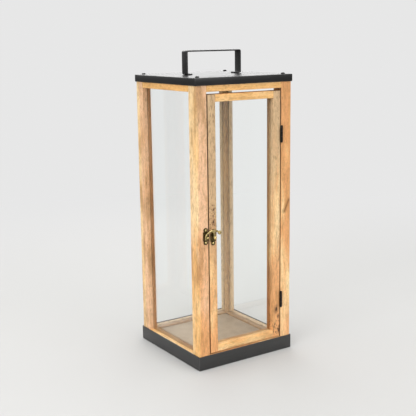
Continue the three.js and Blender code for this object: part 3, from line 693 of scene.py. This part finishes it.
def is_sharp(edge, angle=0.5):
    return edge.calc_face_angle(0) > angle


def soften(ob, width, test, segments=2):
    """Rounds the edges that pass a test."""
    with editing(ob):
        if pick("EDGE", test):
            bpy.ops.mesh.bevel(offset=width, segments=segments, affect="EDGES", clamp_overlap=True)


def modify(ob, kind, **settings):
    """Adds a modifier, sets it and applies it."""
    focus(ob)
    bpy.ops.object.modifier_add(type=kind)
    modifier = ob.modifiers[-1]
    for key, value in settings.items():
        setattr(modifier, key, value)
    bpy.ops.object.modifier_apply(modifier=modifier.name)


def combine(ob, tools, operation="DIFFERENCE"):
    """Cuts tool solids out of a piece, or joins them to it, and removes the tools."""
    for tool in tools:
        modify(ob, "BOOLEAN", operation=operation, solver="EXACT", object=tool)
        bpy.data.objects.remove(tool)
    return ob


def aim(ob, way, place, twist=0):
    """Turns a piece made along +Z to another way, moves it and applies both; twist is in degrees."""
    focus(ob)
    turn = Vector(UP).rotation_difference(Vector(way)).to_matrix().to_4x4()
    spin = Matrix.Rotation(math.radians(twist), 4, "Z")
    ob.matrix_world = Matrix.Translation(Vector(place)) @ turn @ spin
    apply_place()
    return ob


def turned(rings, way=UP, place=(0, 0, 0), sides=32):
    """A solid of revolution: a round face raised and resized ring by ring, then aimed.

    Each ring is a radius and a height in millimetres.
    """
    start_clean()
    radius, height = rings[0]
    bpy.ops.mesh.primitive_circle_add(
        vertices=sides, radius=radius * MM, fill_type="NGON", location=(0, 0, height * MM)
    )
    apply_place()
    ob = bpy.context.object
    with editing(ob):
        select_all_faces()
        for next_radius, next_height in rings[1:]:
            rise, share = (next_height - height) * MM, next_radius / radius
            bpy.ops.mesh.extrude_region_move(TRANSFORM_OT_translate={"value": (0, 0, rise)})
            bpy.ops.transform.resize(value=(share, share, 1), center_override=(0, 0, next_height * MM))
            radius, height = next_radius, next_height
        select_all_faces()
        bpy.ops.mesh.normals_make_consistent(inside=False)
    return aim(ob, way, place)


def dome(radius, low, high, steps=6):
    """Rings of a rounded head, from its rim at low up to its small flat tip at high."""
    rings = []
    for step in range(steps + 1):
        angle = math.radians(90) * step / steps
        rings.append((radius * max(math.cos(angle), DOME_TIP), low + (high - low) * math.sin(angle)))
    return rings


def drill(ob, nodes, rings, height, sides=32):
    """Cuts the same hole, with its rings measured from a height, at each of some fasteners."""
    spots = [middle_of(node) for node in nodes]
    combine(ob, [turned(rings, UP, (spot.x, spot.y, height), sides) for spot in spots])


def cross_cut(screw, low, high, reach, width):
    """Cuts a driver's cross into a head made along +Z; sizes in millimetres."""
    half = width / 2
    bars = []
    for x, y in ((reach, half), (half, reach)):
        bars.append(block(Vector((-x, -y, low)) * MM, Vector((x, y, high)) * MM))
    return combine(screw, bars)


def settle(ob, node, material, smooth=35):
    """Finishes a piece: it stands for a CAD node and takes its body; its name tells the stuff of the node's
    slot.
    """
    focus(ob)
    bpy.ops.object.shade_smooth_by_angle(angle=math.radians(smooth))
    ob.name = f"{node}_{STUFF[SLOT_OF[node]]}"
    ob.data.name = ob.name
    ob.data.materials.clear()
    ob.data.materials.append(material)
    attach(ob, BODY_OF[node])
    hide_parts(node)


class LanternOperator:
    """What every step shares: undo, and the sizes and colours of the scene."""

    bl_options = {"REGISTER", "UNDO"}

    @property
    def sizes(self):
        return bpy.context.scene.lantern_sizes

    @property
    def colours(self):
        return bpy.context.scene.lantern_colours


# ---- Wooden members ----

# How each member's board looks: see mango_wood
# Rails seen through two panes: grey wood laid thick as painted reflection of the glass over them.
GREY_PAINTED_VEIL = dict(heart=0.0, orange=0.0, streaks=0.3, grey=1.1)
WOOD_LOOKS = {
    "post_front_left": dict(
        heart=(X, -8, 1), orange=0.4, streaks=0.8, grey=0.12,
        rise=(0, -0.6, 0.15), seam=1, painted_shade_depth=1.8,
    ),
    "post_front_right": dict(
        heart=0.55, orange=0.65, streaks=0.45, grey=0.05,
        rise=(0.2, 0.5, 0), shade=(1.03, 0.97), seam=-1, crack=((96.5, 280), (83.5, 254)),
    ),
    "post_back_left": dict(heart=(Y, 1, -1), orange=0.3, streaks=0.6, grey=0.2, painted_shade_depth=2.0),
    # Seen through two panes: its grey and its shade paint the glass's pale reflection, paler towards the
    # bottom.
    "post_back_right": dict(heart=0.1, orange=0.0, grey=0.9, shade=(1.2, 0.85)),
    "top_rail_left": dict(heart=0.3, orange=0.9, grey=0.05),
    "top_rail_right": dict(heart=0.4, orange=0.6),
    "top_rail_back": dict(heart=0.4),
    "top_rail_front": dict(heart=0.35, orange=0.85, streaks=0.45),
    "bottom_rail_left": dict(heart=0.2, painted_shade_depth=2.6),
    "bottom_rail_right": GREY_PAINTED_VEIL,
    "bottom_rail_back": GREY_PAINTED_VEIL,
    "bottom_rail_front": dict(heart=0.5),
    "door_latch_stile": dict(
        heart=0.5, orange=0.6, streaks=0.65, grey=0.5,
        rise=(-0.6, -0.7, 1.1), specks=(236, 292), seam=-1, painted_shade_depth=1.5,
        knots=((-66.7, 258.6, 1.9), (-66.3, 279.5, 1.0), (-67.2, 268.8, 0.8)),
    ),
    "door_hinge_stile": dict(
        heart=0.5, streaks=0.65, grey=0.35,
        rise=(-0.3, -0.5, 0.7), specks=(27, 60), seam=1, painted_shade_depth=1.8,
        knots=((67.7, 79.2, 2.6), (71.7, 65.1, 1.4), (73.5, 38.5, 2.4), (62.6, 46, 1.2)),
    ),
    "door_top_rail": dict(heart=0.25, orange=0.7, streaks=0.55),
    "door_bottom_rail": dict(heart=0.3, streaks=0.65, grey=0.2),
}


def wooden_member(node, arris):
    """A straight member with rounded long edges, grooved where a pane's edge goes in."""
    low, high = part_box(node)
    along = longest_axis(low, high)
    across = [axis for axis in (X, Y, Z) if axis != along]
    ob = block(low, high)
    cutters = []
    for pane_low, pane_high in map(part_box, PANES):
        if any(pane_high[a] < low[a] or pane_low[a] > high[a] for a in (X, Y, Z)):
            continue
        start = [max(low[a] - GROOVE_PLAY * 2, pane_low[a] - GROOVE_PLAY) for a in (X, Y, Z)]
        end = [min(high[a] + GROOVE_PLAY * 2, pane_high[a] + GROOVE_PLAY) for a in (X, Y, Z)]
        start[along], end[along] = low[along] - MM, high[along] + MM
        cutters.append(block(start, end))
    combine(ob, cutters)

    def on_faces(edge):
        """How many of the member's long faces an edge lies on, or 0 if it doesn't run along them."""
        return runs_along(edge, along) * sum(lies_at(edge, axis, low[axis], high[axis]) for axis in across)

    soften(ob, 0.35 * MM, lambda edge: on_faces(edge) == 1 and is_sharp(edge), 1)
    soften(ob, arris, lambda edge: on_faces(edge) == 2, 3)
    soften(ob, 0.3 * MM, lambda edge: lies_at(edge, along, low[along], high[along]) and is_sharp(edge), 1)
    return ob


def make_members(body, step, first_seed, next_seed):
    """Makes a body's wooden members for a step, each with a wood of its own."""
    members = [node for node in WOOD_LOOKS if BODY_OF[node] == body]
    for number, node in enumerate(members):
        ob = wooden_member(node, step.sizes.arris)
        seed = first_seed + number * next_seed
        settle(ob, node, mango_wood(f"{node}_grain", step.colours, node, seed, **WOOD_LOOKS[node]))


class LANTERN_OT_wooden_frame(LanternOperator, Operator):
    """Makes the four posts and the eight rails between them"""

    bl_idname = "lantern.wooden_frame"
    bl_label = "Wooden Frame"

    def execute(self, context):
        make_members("frame", self, first_seed=1.3, next_seed=0.71)
        return {"FINISHED"}


class LANTERN_OT_door_frame(LanternOperator, Operator):
    """Makes the door's two stiles and two rails"""

    bl_idname = "lantern.door_frame"
    bl_label = "Door Frame"

    def execute(self, context):
        make_members("door", self, first_seed=11.7, next_seed=0.63)
        return {"FINISHED"}


# ---- Glass, tray, board, cap and handle ----


class LANTERN_OT_panes(LanternOperator, Operator):
    """Makes the three fixed panes and the door's pane, with seamed edges"""

    bl_idname = "lantern.panes"
    bl_label = "Glass Panes"

    def execute(self, context):
        material = window_glass("clear_glass")
        for node in PANES:
            ob = block(*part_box(node))
            soften(ob, 0.35 * MM, lambda edge: True, 1)
            settle(ob, node, material)
        return {"FINISHED"}


def folded_pan(node, mouth, sizes):
    """A box of sheet metal, open at its mouth's height, with folded edges and a softened rim."""
    ob = block(*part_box(node))
    with editing(ob):
        pick("FACE", lambda face: same(face.calc_center_median().z, mouth))
        bpy.ops.mesh.delete(type="FACE")
    soften(ob, sizes.fold, lambda edge: not lies_at(edge, Z, mouth), 4)
    modify(ob, "SOLIDIFY", thickness=sizes.sheet, offset=-1, use_even_offset=True)
    soften(ob, 0.35 * MM, lambda edge: lies_at(edge, Z, mouth) and is_sharp(edge, 1.0), 2)
    return ob


class LANTERN_OT_base_tray(LanternOperator, Operator):
    """Folds the open tray that the wooden frame stands in"""

    bl_idname = "lantern.base_tray"
    bl_label = "Base Tray"

    def execute(self, context):
        ob = folded_pan("base_tray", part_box("base_tray")[1].z, self.sizes)
        drill(ob, BASE_SCREWS, [(4.1, -0.2), (4.0, 0), (2.2, 1.8)], 0)
        settle(ob, "base_tray", black_paint("tray_paint", self.colours, "base_tray", 1.15))
        return {"FINISHED"}


class LANTERN_OT_base_board(LanternOperator, Operator):
    """Makes the board that the candle stands on"""

    bl_idname = "lantern.base_board"
    bl_label = "Candle Board"

    def execute(self, context):
        ob = block(*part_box("base_board"))
        soften(ob, self.sizes.board_edge, lambda edge: True, 2)
        settle(ob, "base_board", candle_board("board_fibre", self.colours))
        return {"FINISHED"}


class LANTERN_OT_cap(LanternOperator, Operator):
    """Folds the cap that closes the top of the wooden frame"""

    bl_idname = "lantern.cap"
    bl_label = "Cap"

    def execute(self, context):
        low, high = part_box("cap")
        ob = folded_pan("cap", low.z, self.sizes)
        drill(ob, CAP_SCREWS + RIVETS, [(2, -4), (2, 1)], high.z, 24)
        # The cap's paint darkened to 0.45 as painted shade on its skirt.
        settle(ob, "cap", black_paint("cap_paint", self.colours, "cap", 0.45))
        return {"FINISHED"}


def bent_strip(low, high, foot_end, strip, bend):
    """One strip bent to a square arch that fills a box, its feet turned in to foot_end from the middle."""
    left, right = low.x + bend, high.x - bend
    bottom, top = low.z + bend, high.z - bend
    ob = block((left, low.y, low.z), (-foot_end, high.y, low.z + strip))
    with editing(ob):
        pick("FACE", lambda face: same(face.calc_center_median().x, left))
        for centre, run in (
            ((left, 0, bottom), (0, 0, top - bottom)),
            ((left, 0, top), (right - left, 0, 0)),
            ((right, 0, top), (0, 0, bottom - top)),
            ((right, 0, bottom), (foot_end - right, 0, 0)),
        ):
            bpy.ops.mesh.spin(steps=BEND_STEPS, angle=math.radians(-90), center=centre, axis=(0, 1, 0))
            bpy.ops.mesh.extrude_region_move(TRANSFORM_OT_translate={"value": run})
        select_all_faces()
        bpy.ops.mesh.remove_doubles(threshold=1e-6)
        bpy.ops.mesh.normals_make_consistent(inside=False)
    return ob


class LANTERN_OT_handle(LanternOperator, Operator):
    """Bends one strip to the square handle, and rivets its feet to the cap"""

    bl_idname = "lantern.handle"
    bl_label = "Handle"

    def execute(self, context):
        low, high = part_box("handle")
        foot_end = middle_of("handle_rivet_right").x - FOOT_PAST_RIVET
        ob = bent_strip(low, high, foot_end, self.sizes.strip, self.sizes.bend)
        soften(ob, 1.6 * MM, lambda edge: runs_along(edge, Z) and lies_at(edge, X, foot_end, -foot_end), 4)
        soften(ob, 0.4 * MM, lambda edge: is_sharp(edge, 1.0), 2)
        drill(ob, RIVETS, [(1.7, -0.5), (3.1, 2.9)], low.z)
        settle(ob, "handle", black_paint("handle_paint", self.colours, "handle", 0.55))

        paint = black_steel("rivet_black", self.colours)
        rings = [(0.5, -3.2), (1.7, -3.1), (2.4, -2.7), (2.8, -1.9), (1.3, -1.9), (1.3, 0.3), (2.6, 2.5)]
        rings += [(2.4, 2.66), (1.2, 2.7)]
        for node in RIVETS:
            settle(turned(rings, UP, (middle_of(node).x, 0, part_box("cap")[1].z)), node, paint)
        return {"FINISHED"}


# ---- Screws and hinges ----


class LANTERN_OT_screws(LanternOperator, Operator):
    """Makes the domed screws in the cap and the flush ones under the tray"""

    bl_idname = "lantern.screws"
    bl_label = "Screws"

    def execute(self, context):
        steel = black_steel("screw_black", self.colours)
        for number, (domed, flush) in enumerate(zip(CAP_SCREWS, BASE_SCREWS)):
            turn = FIRST_TURN + NEXT_TURN * number
            low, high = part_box(domed)
            spot = middle_of(domed)
            head = (high.z - low.z) / MM - WOOD_SCREW_LENGTH
            rings = [(0.3, -WOOD_SCREW_LENGTH), (1.7, -16.5), (1.7, 0), (3.45, 0), (3.6, 0.15)]
            screw = cross_cut(turned(rings + dome(3.6, 0.6, head, 7)), 1.2, 3.0, 2.3, 0.75)
            settle(aim(screw, UP, (spot.x, spot.y, high.z - head * MM), turn), domed, steel)

            spot = middle_of(flush)
            rings = [(0.3, -WOOD_SCREW_LENGTH), (1.7, -17.5), (1.7, -1.6), (3.3, -0.1), (3.3, 0)]
            screw = cross_cut(turned(rings), -0.9, 1.0, 1.9, 0.7)
            settle(aim(screw, DOWN, (spot.x, spot.y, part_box(flush)[0].z), turn), flush, steel)
        return {"FINISHED"}


def hinge_leaf(node, axis, side):
    """One leaf in the seam with its knuckles round the pin; side is 1 on the post and -1 on the door."""
    low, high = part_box(node)
    half = (high.z - low.z) / 2 if side > 0 else HINGE_HALF * MM
    third = HINGE_HALF * 2 / 3
    inner_end, outer_start = third / 2 - KNUCKLE_GAP / 2, third / 2 + KNUCKLE_GAP / 2
    outer = [(-HINGE_HALF, -outer_start), (outer_start, HINGE_HALF)]
    middle = [(-inner_end, inner_end)]
    own, other = (outer, middle) if side > 0 else (middle, outer)
    near, far = sorted((axis.x + side * LEAF_NEAR * MM, axis.x + side * LEAF_FAR * MM))
    leaf = block((near, axis.y, axis.z - half), (far, high.y, axis.z + half))
    soften(leaf, 1.5 * MM, lambda edge: runs_along(edge, X) and lies_at(edge, Y, high.y), 4)
    notches = [[(2.6, start - KNUCKLE_GAP), (2.6, end + KNUCKLE_GAP)] for start, end in other]
    combine(leaf, [turned(rings, UP, axis) for rings in notches])
    barrels = [[(2.1, start), (2.3, start + 0.2), (2.3, end - 0.2), (2.1, end)] for start, end in own]
    combine(leaf, [turned(rings, UP, axis) for rings in barrels], "UNION")
    tools = [turned([(1.3, -half / MM - 1), (1.3, half / MM + 1)], UP, axis, 24)]
    for rise in (-HINGE_SCREW_RISE, HINGE_SCREW_RISE):
        place = axis + Vector((side * LEAF_NEAR, 10, rise)) * MM
        tools.append(turned([(1.1, -1.5), (1.1, -1.1), (2.1, 0.1), (2.1, 0.6)], (-side, 0, 0), place, 24))
    return combine(leaf, tools)


def hinge_pin(node):
    """A pin with a rounded button at each end."""
    low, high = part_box(node)
    half = (high.z - low.z) / 2 / MM
    radius, neck_radius, button = 1.8, 1.1, 0.9
    neck = half - button
    upper = [(neck_radius, neck), (radius, neck)] + dome(radius, half - button * 0.7, half, 4)
    lower = [(ring, -height) for ring, height in reversed(upper)]
    return turned(lower + upper, UP, middle_of(node), 24)


class LANTERN_OT_hinges(LanternOperator, Operator):
    """Makes the two butt hinges, each with two leaves, a pin and four screws"""

    bl_idname = "lantern.hinges"
    bl_label = "Hinges"

    def execute(self, context):
        steel = black_steel("hinge_black", self.colours)
        screw_steel = black_steel("hinge_screw_black", self.colours)
        rings = [(0.2, -9), (0.9, -6.5), (0.9, -1.1), (1.85, -0.1), (1.8, 0)]
        for hinge in ("hinge_lower", "hinge_upper"):
            axis = middle_of(f"{hinge}_pin")
            for owner, side in (("frame", 1), ("door", -1)):
                node = f"{hinge}_{owner}_leaf"
                settle(hinge_leaf(node, axis, side), node, steel)
                for label, rise in (("low", -HINGE_SCREW_RISE), ("high", HINGE_SCREW_RISE)):
                    node = f"{hinge}_{owner}_screw_{label}"
                    screw = cross_cut(turned(rings, sides=24), -0.6, 1, 1.05, 0.4)
                    place = (axis.x + side * 0.25 * MM, middle_of(node).y, axis.z + rise * MM)
                    settle(aim(screw, (-side, 0, 0), place, 30), node, screw_steel)
            settle(hinge_pin(f"{hinge}_pin"), f"{hinge}_pin", steel)
        return {"FINISHED"}


# ---- Latch ----


def latch_plate(node, hole):
    """A small plate: a square middle between two round lobes, its front edge pressed round."""
    low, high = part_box(node)
    spot = (low + high) / 2
    rise = (high.z - low.z) / 2 - PLATE_LOBE * MM
    shoulder = rise - PLATE_LOBE * 0.7 * MM
    plate = block((low.x, low.y, spot.z - shoulder), (high.x, high.y, spot.z + shoulder))
    rings = [(PLATE_LOBE, 0), (PLATE_LOBE, (high.y - low.y) / MM)]
    lobes = [turned(rings, FRONT, (spot.x, high.y, spot.z + way * rise), 48) for way in (-1, 1)]
    combine(plate, lobes, "UNION")
    soften(plate, 0.9 * MM, lambda edge: runs_along(edge, Y) and is_sharp(edge, 0.6), 4)
    soften(plate, 0.45 * MM, lambda edge: lies_at(edge, Y, low.y) and is_sharp(edge, 0.6), 3)
    bores = []
    for x, z, radius in ((spot.x, spot.z - rise, 1.0), (spot.x, spot.z + rise, 1.0), (hole.x, hole.z, 1.5)):
        bores.append(turned([(radius, -4), (radius, 4)], FRONT, (x, spot.y, z), 24))
    return combine(plate, bores)


def round_bar(points, widths, centre_y):
    """A bar along a curve in X and Z, oval in section; points and widths in millimetres."""
    start_clean()
    bpy.ops.curve.primitive_bezier_curve_add(location=(0, 0, 0))
    curve = bpy.context.object.data
    curve.bevel_depth = ARM_THICKNESS / 2 * MM
    curve.bevel_resolution = 5
    curve.resolution_u = 10
    curve.use_fill_caps = True
    knots = curve.splines[0].bezier_points
    knots.add(len(points) - len(knots))
    for knot, (x, z), width in zip(knots, points, widths):
        knot.co = (x * MM, 0, z * MM)
        knot.handle_left_type = knot.handle_right_type = "AUTO"
        knot.radius = width / ARM_THICKNESS
    bpy.ops.object.convert(target="MESH")
    ob = bpy.context.object
    focus(ob)
    wide = sum(widths) / len(widths) / ARM_THICKNESS
    bpy.ops.transform.resize(value=(1, 1 / wide, 1), center_override=(0, 0, 0))
    bpy.ops.transform.translate(value=(0, centre_y, 0))
    apply_place()
    return ob


def latch_arm(pivot):
    """The cast hook: arch, stem, boss and ball grip run together and smoothed."""
    centre_y = -(ARM_BACK + ARM_THICKNESS / 2) * MM
    arm = round_bar(HOOK_CURVE, HOOK_WIDTHS, centre_y)
    stem = round_bar(STEM_CURVE, STEM_WIDTHS, centre_y)
    boss = turned([(2.9, 1.75), (3.1, 2.0), (3.1, 5.5), (2.9, 5.7)], FRONT)
    start_clean()
    grip = (9.8 * MM, centre_y, 7.6 * MM)
    bpy.ops.mesh.primitive_uv_sphere_add(segments=40, ring_count=24, radius=3.5 * MM, location=grip)
    ball = bpy.context.object
    apply_place()
    combine(arm, [stem, boss, ball], "UNION")
    modify(arm, "REMESH", mode="VOXEL", voxel_size=0.22 * MM)
    modify(arm, "SMOOTH", factor=0.5, iterations=6)
    combine(arm, [turned([(1.65, -1), (1.65, 9)], FRONT)])
    return aim(arm, UP, pivot)


class LANTERN_OT_latch(LanternOperator, Operator):
    """Makes the keeper on the post and the swinging hook on the door"""

    bl_idname = "lantern.latch"
    bl_label = "Latch"

    def execute(self, context):
        wood_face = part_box("door_latch_stile")[0].y
        plate_brass = aged_brass("plate_brass", self.colours, 0.33)
        # The nails' high value paints highlight on their domes, besides wear.
        nail_brass = aged_brass("nail_brass", self.colours, 1.0)
        arm_brass = aged_brass("arm_brass", self.colours, 0.72)
        for node, hole in (("keeper_plate", "keeper_stud"), ("latch_plate", "latch_pivot_screw")):
            settle(latch_plate(node, middle_of(hole)), node, plate_brass)
        rings = [(0.15, -9), (0.7, -7.5), (0.7, 0), (1.9, 0)] + dome(2, 0.15, 1.1)
        for node in ("keeper_nail_lower", "keeper_nail_upper", "latch_nail_lower", "latch_nail_upper"):
            spot = middle_of(node)
            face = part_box(node)[0].y + 1.1 * MM
            settle(turned(rings, FRONT, (spot.x, face, spot.z)), node, nail_brass)

        node, deep = "keeper_stud", 7
        low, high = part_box(node)
        spot = middle_of(node)
        tip = (high.y - low.y) / MM - deep
        rings = [(0.15, -deep), (1.1, -6), (1.1, 0.2), (1.9, 0.2), (2, 0.4)] + dome(2, tip - 1.1, tip)
        settle(turned(rings, FRONT, (spot.x, high.y - deep * MM, spot.z)), node, nail_brass)

        node = "latch_pivot_screw"
        spot = middle_of(node)
        pivot = (spot.x, wood_face, spot.z)
        head = (wood_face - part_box(node)[0].y) / MM - 1.6
        rings = [(0.2, -7), (0.9, -5.5), (1.35, -5), (1.35, head), (2.65, head)]
        screw = turned(rings + dome(2.8, head + 0.2, head + 1.6, 7))
        slot = block(Vector((-3, -0.35, head + 0.9)) * MM, Vector((3, 0.35, head + 3)) * MM)
        settle(aim(combine(screw, [slot]), FRONT, pivot, 35), node, nail_brass)
        settle(latch_arm(pivot), "latch_arm", arm_brass, 60)
        return {"FINISHED"}


# ---- Studio ----


def make_floor(colours):
    """A round floor that fades into the backdrop, and is clear from below and under the tray."""
    start_clean()
    bpy.ops.mesh.primitive_circle_add(
        vertices=96, radius=FLOOR_RADIUS, fill_type="NGON", location=(0, 0, FLOOR_LEVEL)
    )
    floor = bpy.context.object
    with editing(floor):
        select_all_faces()
        bpy.ops.mesh.inset(thickness=FLOOR_RIM)
    floor.name = "studio_floor"

    paper = Finish("studio_paper", colours.floor, specular_ior_level=0.2, roughness=0.9)
    place = paper.axes(paper.place)
    away = (place[X] * place[X] + place[Y] * place[Y]) ** 0.5
    dark = paper.node("Emission", {"Color": STUDIO_DARK})
    shown = paper.either(paper.ray("Reflection") * away.ramp(0.9, 1.5) * 0.85, paper.surface, dark)
    shown = paper.either(paper.seen() * away.ramp(0.45, 1.5), shown, paper.backdrop("Emission"))
    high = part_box("base_tray")[1]
    under_x, under_y = ((high[axis] - TRAY_MARGIN - abs(place[axis])).ramp(0.0, 0.1 * MM) for axis in (X, Y))
    hidden = paper.node("NewGeometry", output="Backfacing").at_least(under_x * under_y)
    paper.show(paper.either(hidden, shown, paper.node("BsdfTransparent")))
    floor.data.materials.append(paper.material)


def make_world():
    """A pale backdrop where the camera sees it, and soft light from above everywhere else."""
    world = bpy.data.worlds.new("studio")
    bpy.context.scene.world = world
    world.use_nodes = True
    sky = Nodes(world.node_tree, "OutputWorld")
    height = sky.axes(sky.node("TexCoord", output="Generated"))[Z]
    low, high = (sky.node("Background", {"Color": SKY, "Strength": s}) for s in (SKY_LOW, SKY_HIGH))
    light = sky.either(height.ramp(0.0, SKY_HIGH_FROM), low, high)
    sky.show(sky.either(sky.seen(), light, sky.backdrop("Background")))


def softbox(name, place, target, size, power):
    start_clean()
    bpy.ops.object.light_add(type="AREA", location=place)
    ob = bpy.context.object
    ob.name = name
    ob.rotation_euler = (Vector(target) - Vector(place)).to_track_quat("-Z", "Y").to_euler()
    ob.data.shape = "RECTANGLE"
    ob.data.size, ob.data.size_y = size
    ob.data.energy = power
    ob.visible_camera = False


def make_camera():
    start_clean()
    bpy.ops.object.camera_add(location=CAMERA_PLACE)
    camera = bpy.context.object
    camera.name = "studio_camera"
    turn = Matrix.Identity(3)
    for degrees, axis in ((-CAMERA_YAW, "Z"), (90 + CAMERA_PITCH, "X"), (CAMERA_ROLL, "Z")):
        turn = turn @ Matrix.Rotation(math.radians(degrees), 3, axis)
    camera.rotation_euler = turn.to_euler()
    camera.data.lens = CAMERA_LENS
    camera.data.sensor_width = CAMERA_SENSOR
    camera.data.clip_start, camera.data.clip_end = 0.01, 100
    bpy.context.scene.camera = camera
    bpy.context.scene.view_settings.view_transform = "Standard"


class LANTERN_OT_stage(LanternOperator, Operator):
    """Makes the floor, the soft light and the camera"""

    bl_idname = "lantern.stage"
    bl_label = "Studio"

    def execute(self, context):
        make_floor(self.colours)
        make_world()
        for name, settings in SOFTBOXES.items():
            softbox(name, *settings)
        make_camera()
        return {"FINISHED"}


# ---- Panel and start ----

STEPS = (
    LANTERN_OT_stage,
    LANTERN_OT_base_tray,
    LANTERN_OT_cap,
    LANTERN_OT_handle,
    LANTERN_OT_screws,
    LANTERN_OT_base_board,
    LANTERN_OT_wooden_frame,
    LANTERN_OT_door_frame,
    LANTERN_OT_panes,
    LANTERN_OT_hinges,
    LANTERN_OT_latch,
)


class LANTERN_PT_steps(Panel):
    """Lists the steps that build the lantern"""

    bl_idname = "LANTERN_PT_steps"
    bl_label = "Lantern"
    bl_space_type = "VIEW_3D"
    bl_region_type = "UI"
    bl_category = "Lantern"

    def draw(self, context):
        for group in (context.scene.lantern_sizes, context.scene.lantern_colours):
            for name in group.__annotations__:
                self.layout.prop(group, name)
        for step in STEPS:
            self.layout.operator(step.bl_idname)


CLASSES = (LanternSizes, LanternColours, *STEPS, LANTERN_PT_steps)


def register():
    for cls in CLASSES:
        bpy.utils.register_class(cls)
    bpy.types.Scene.lantern_sizes = PointerProperty(type=LanternSizes)
    bpy.types.Scene.lantern_colours = PointerProperty(type=LanternColours)


def unregister():
    del bpy.types.Scene.lantern_colours
    del bpy.types.Scene.lantern_sizes
    for cls in reversed(CLASSES):
        bpy.utils.unregister_class(cls)


def main():
    register()
    for step in STEPS:
        group, name = step.bl_idname.split(".")
        getattr(getattr(bpy.ops, group), name)()


if __name__ == "__main__":
    main()
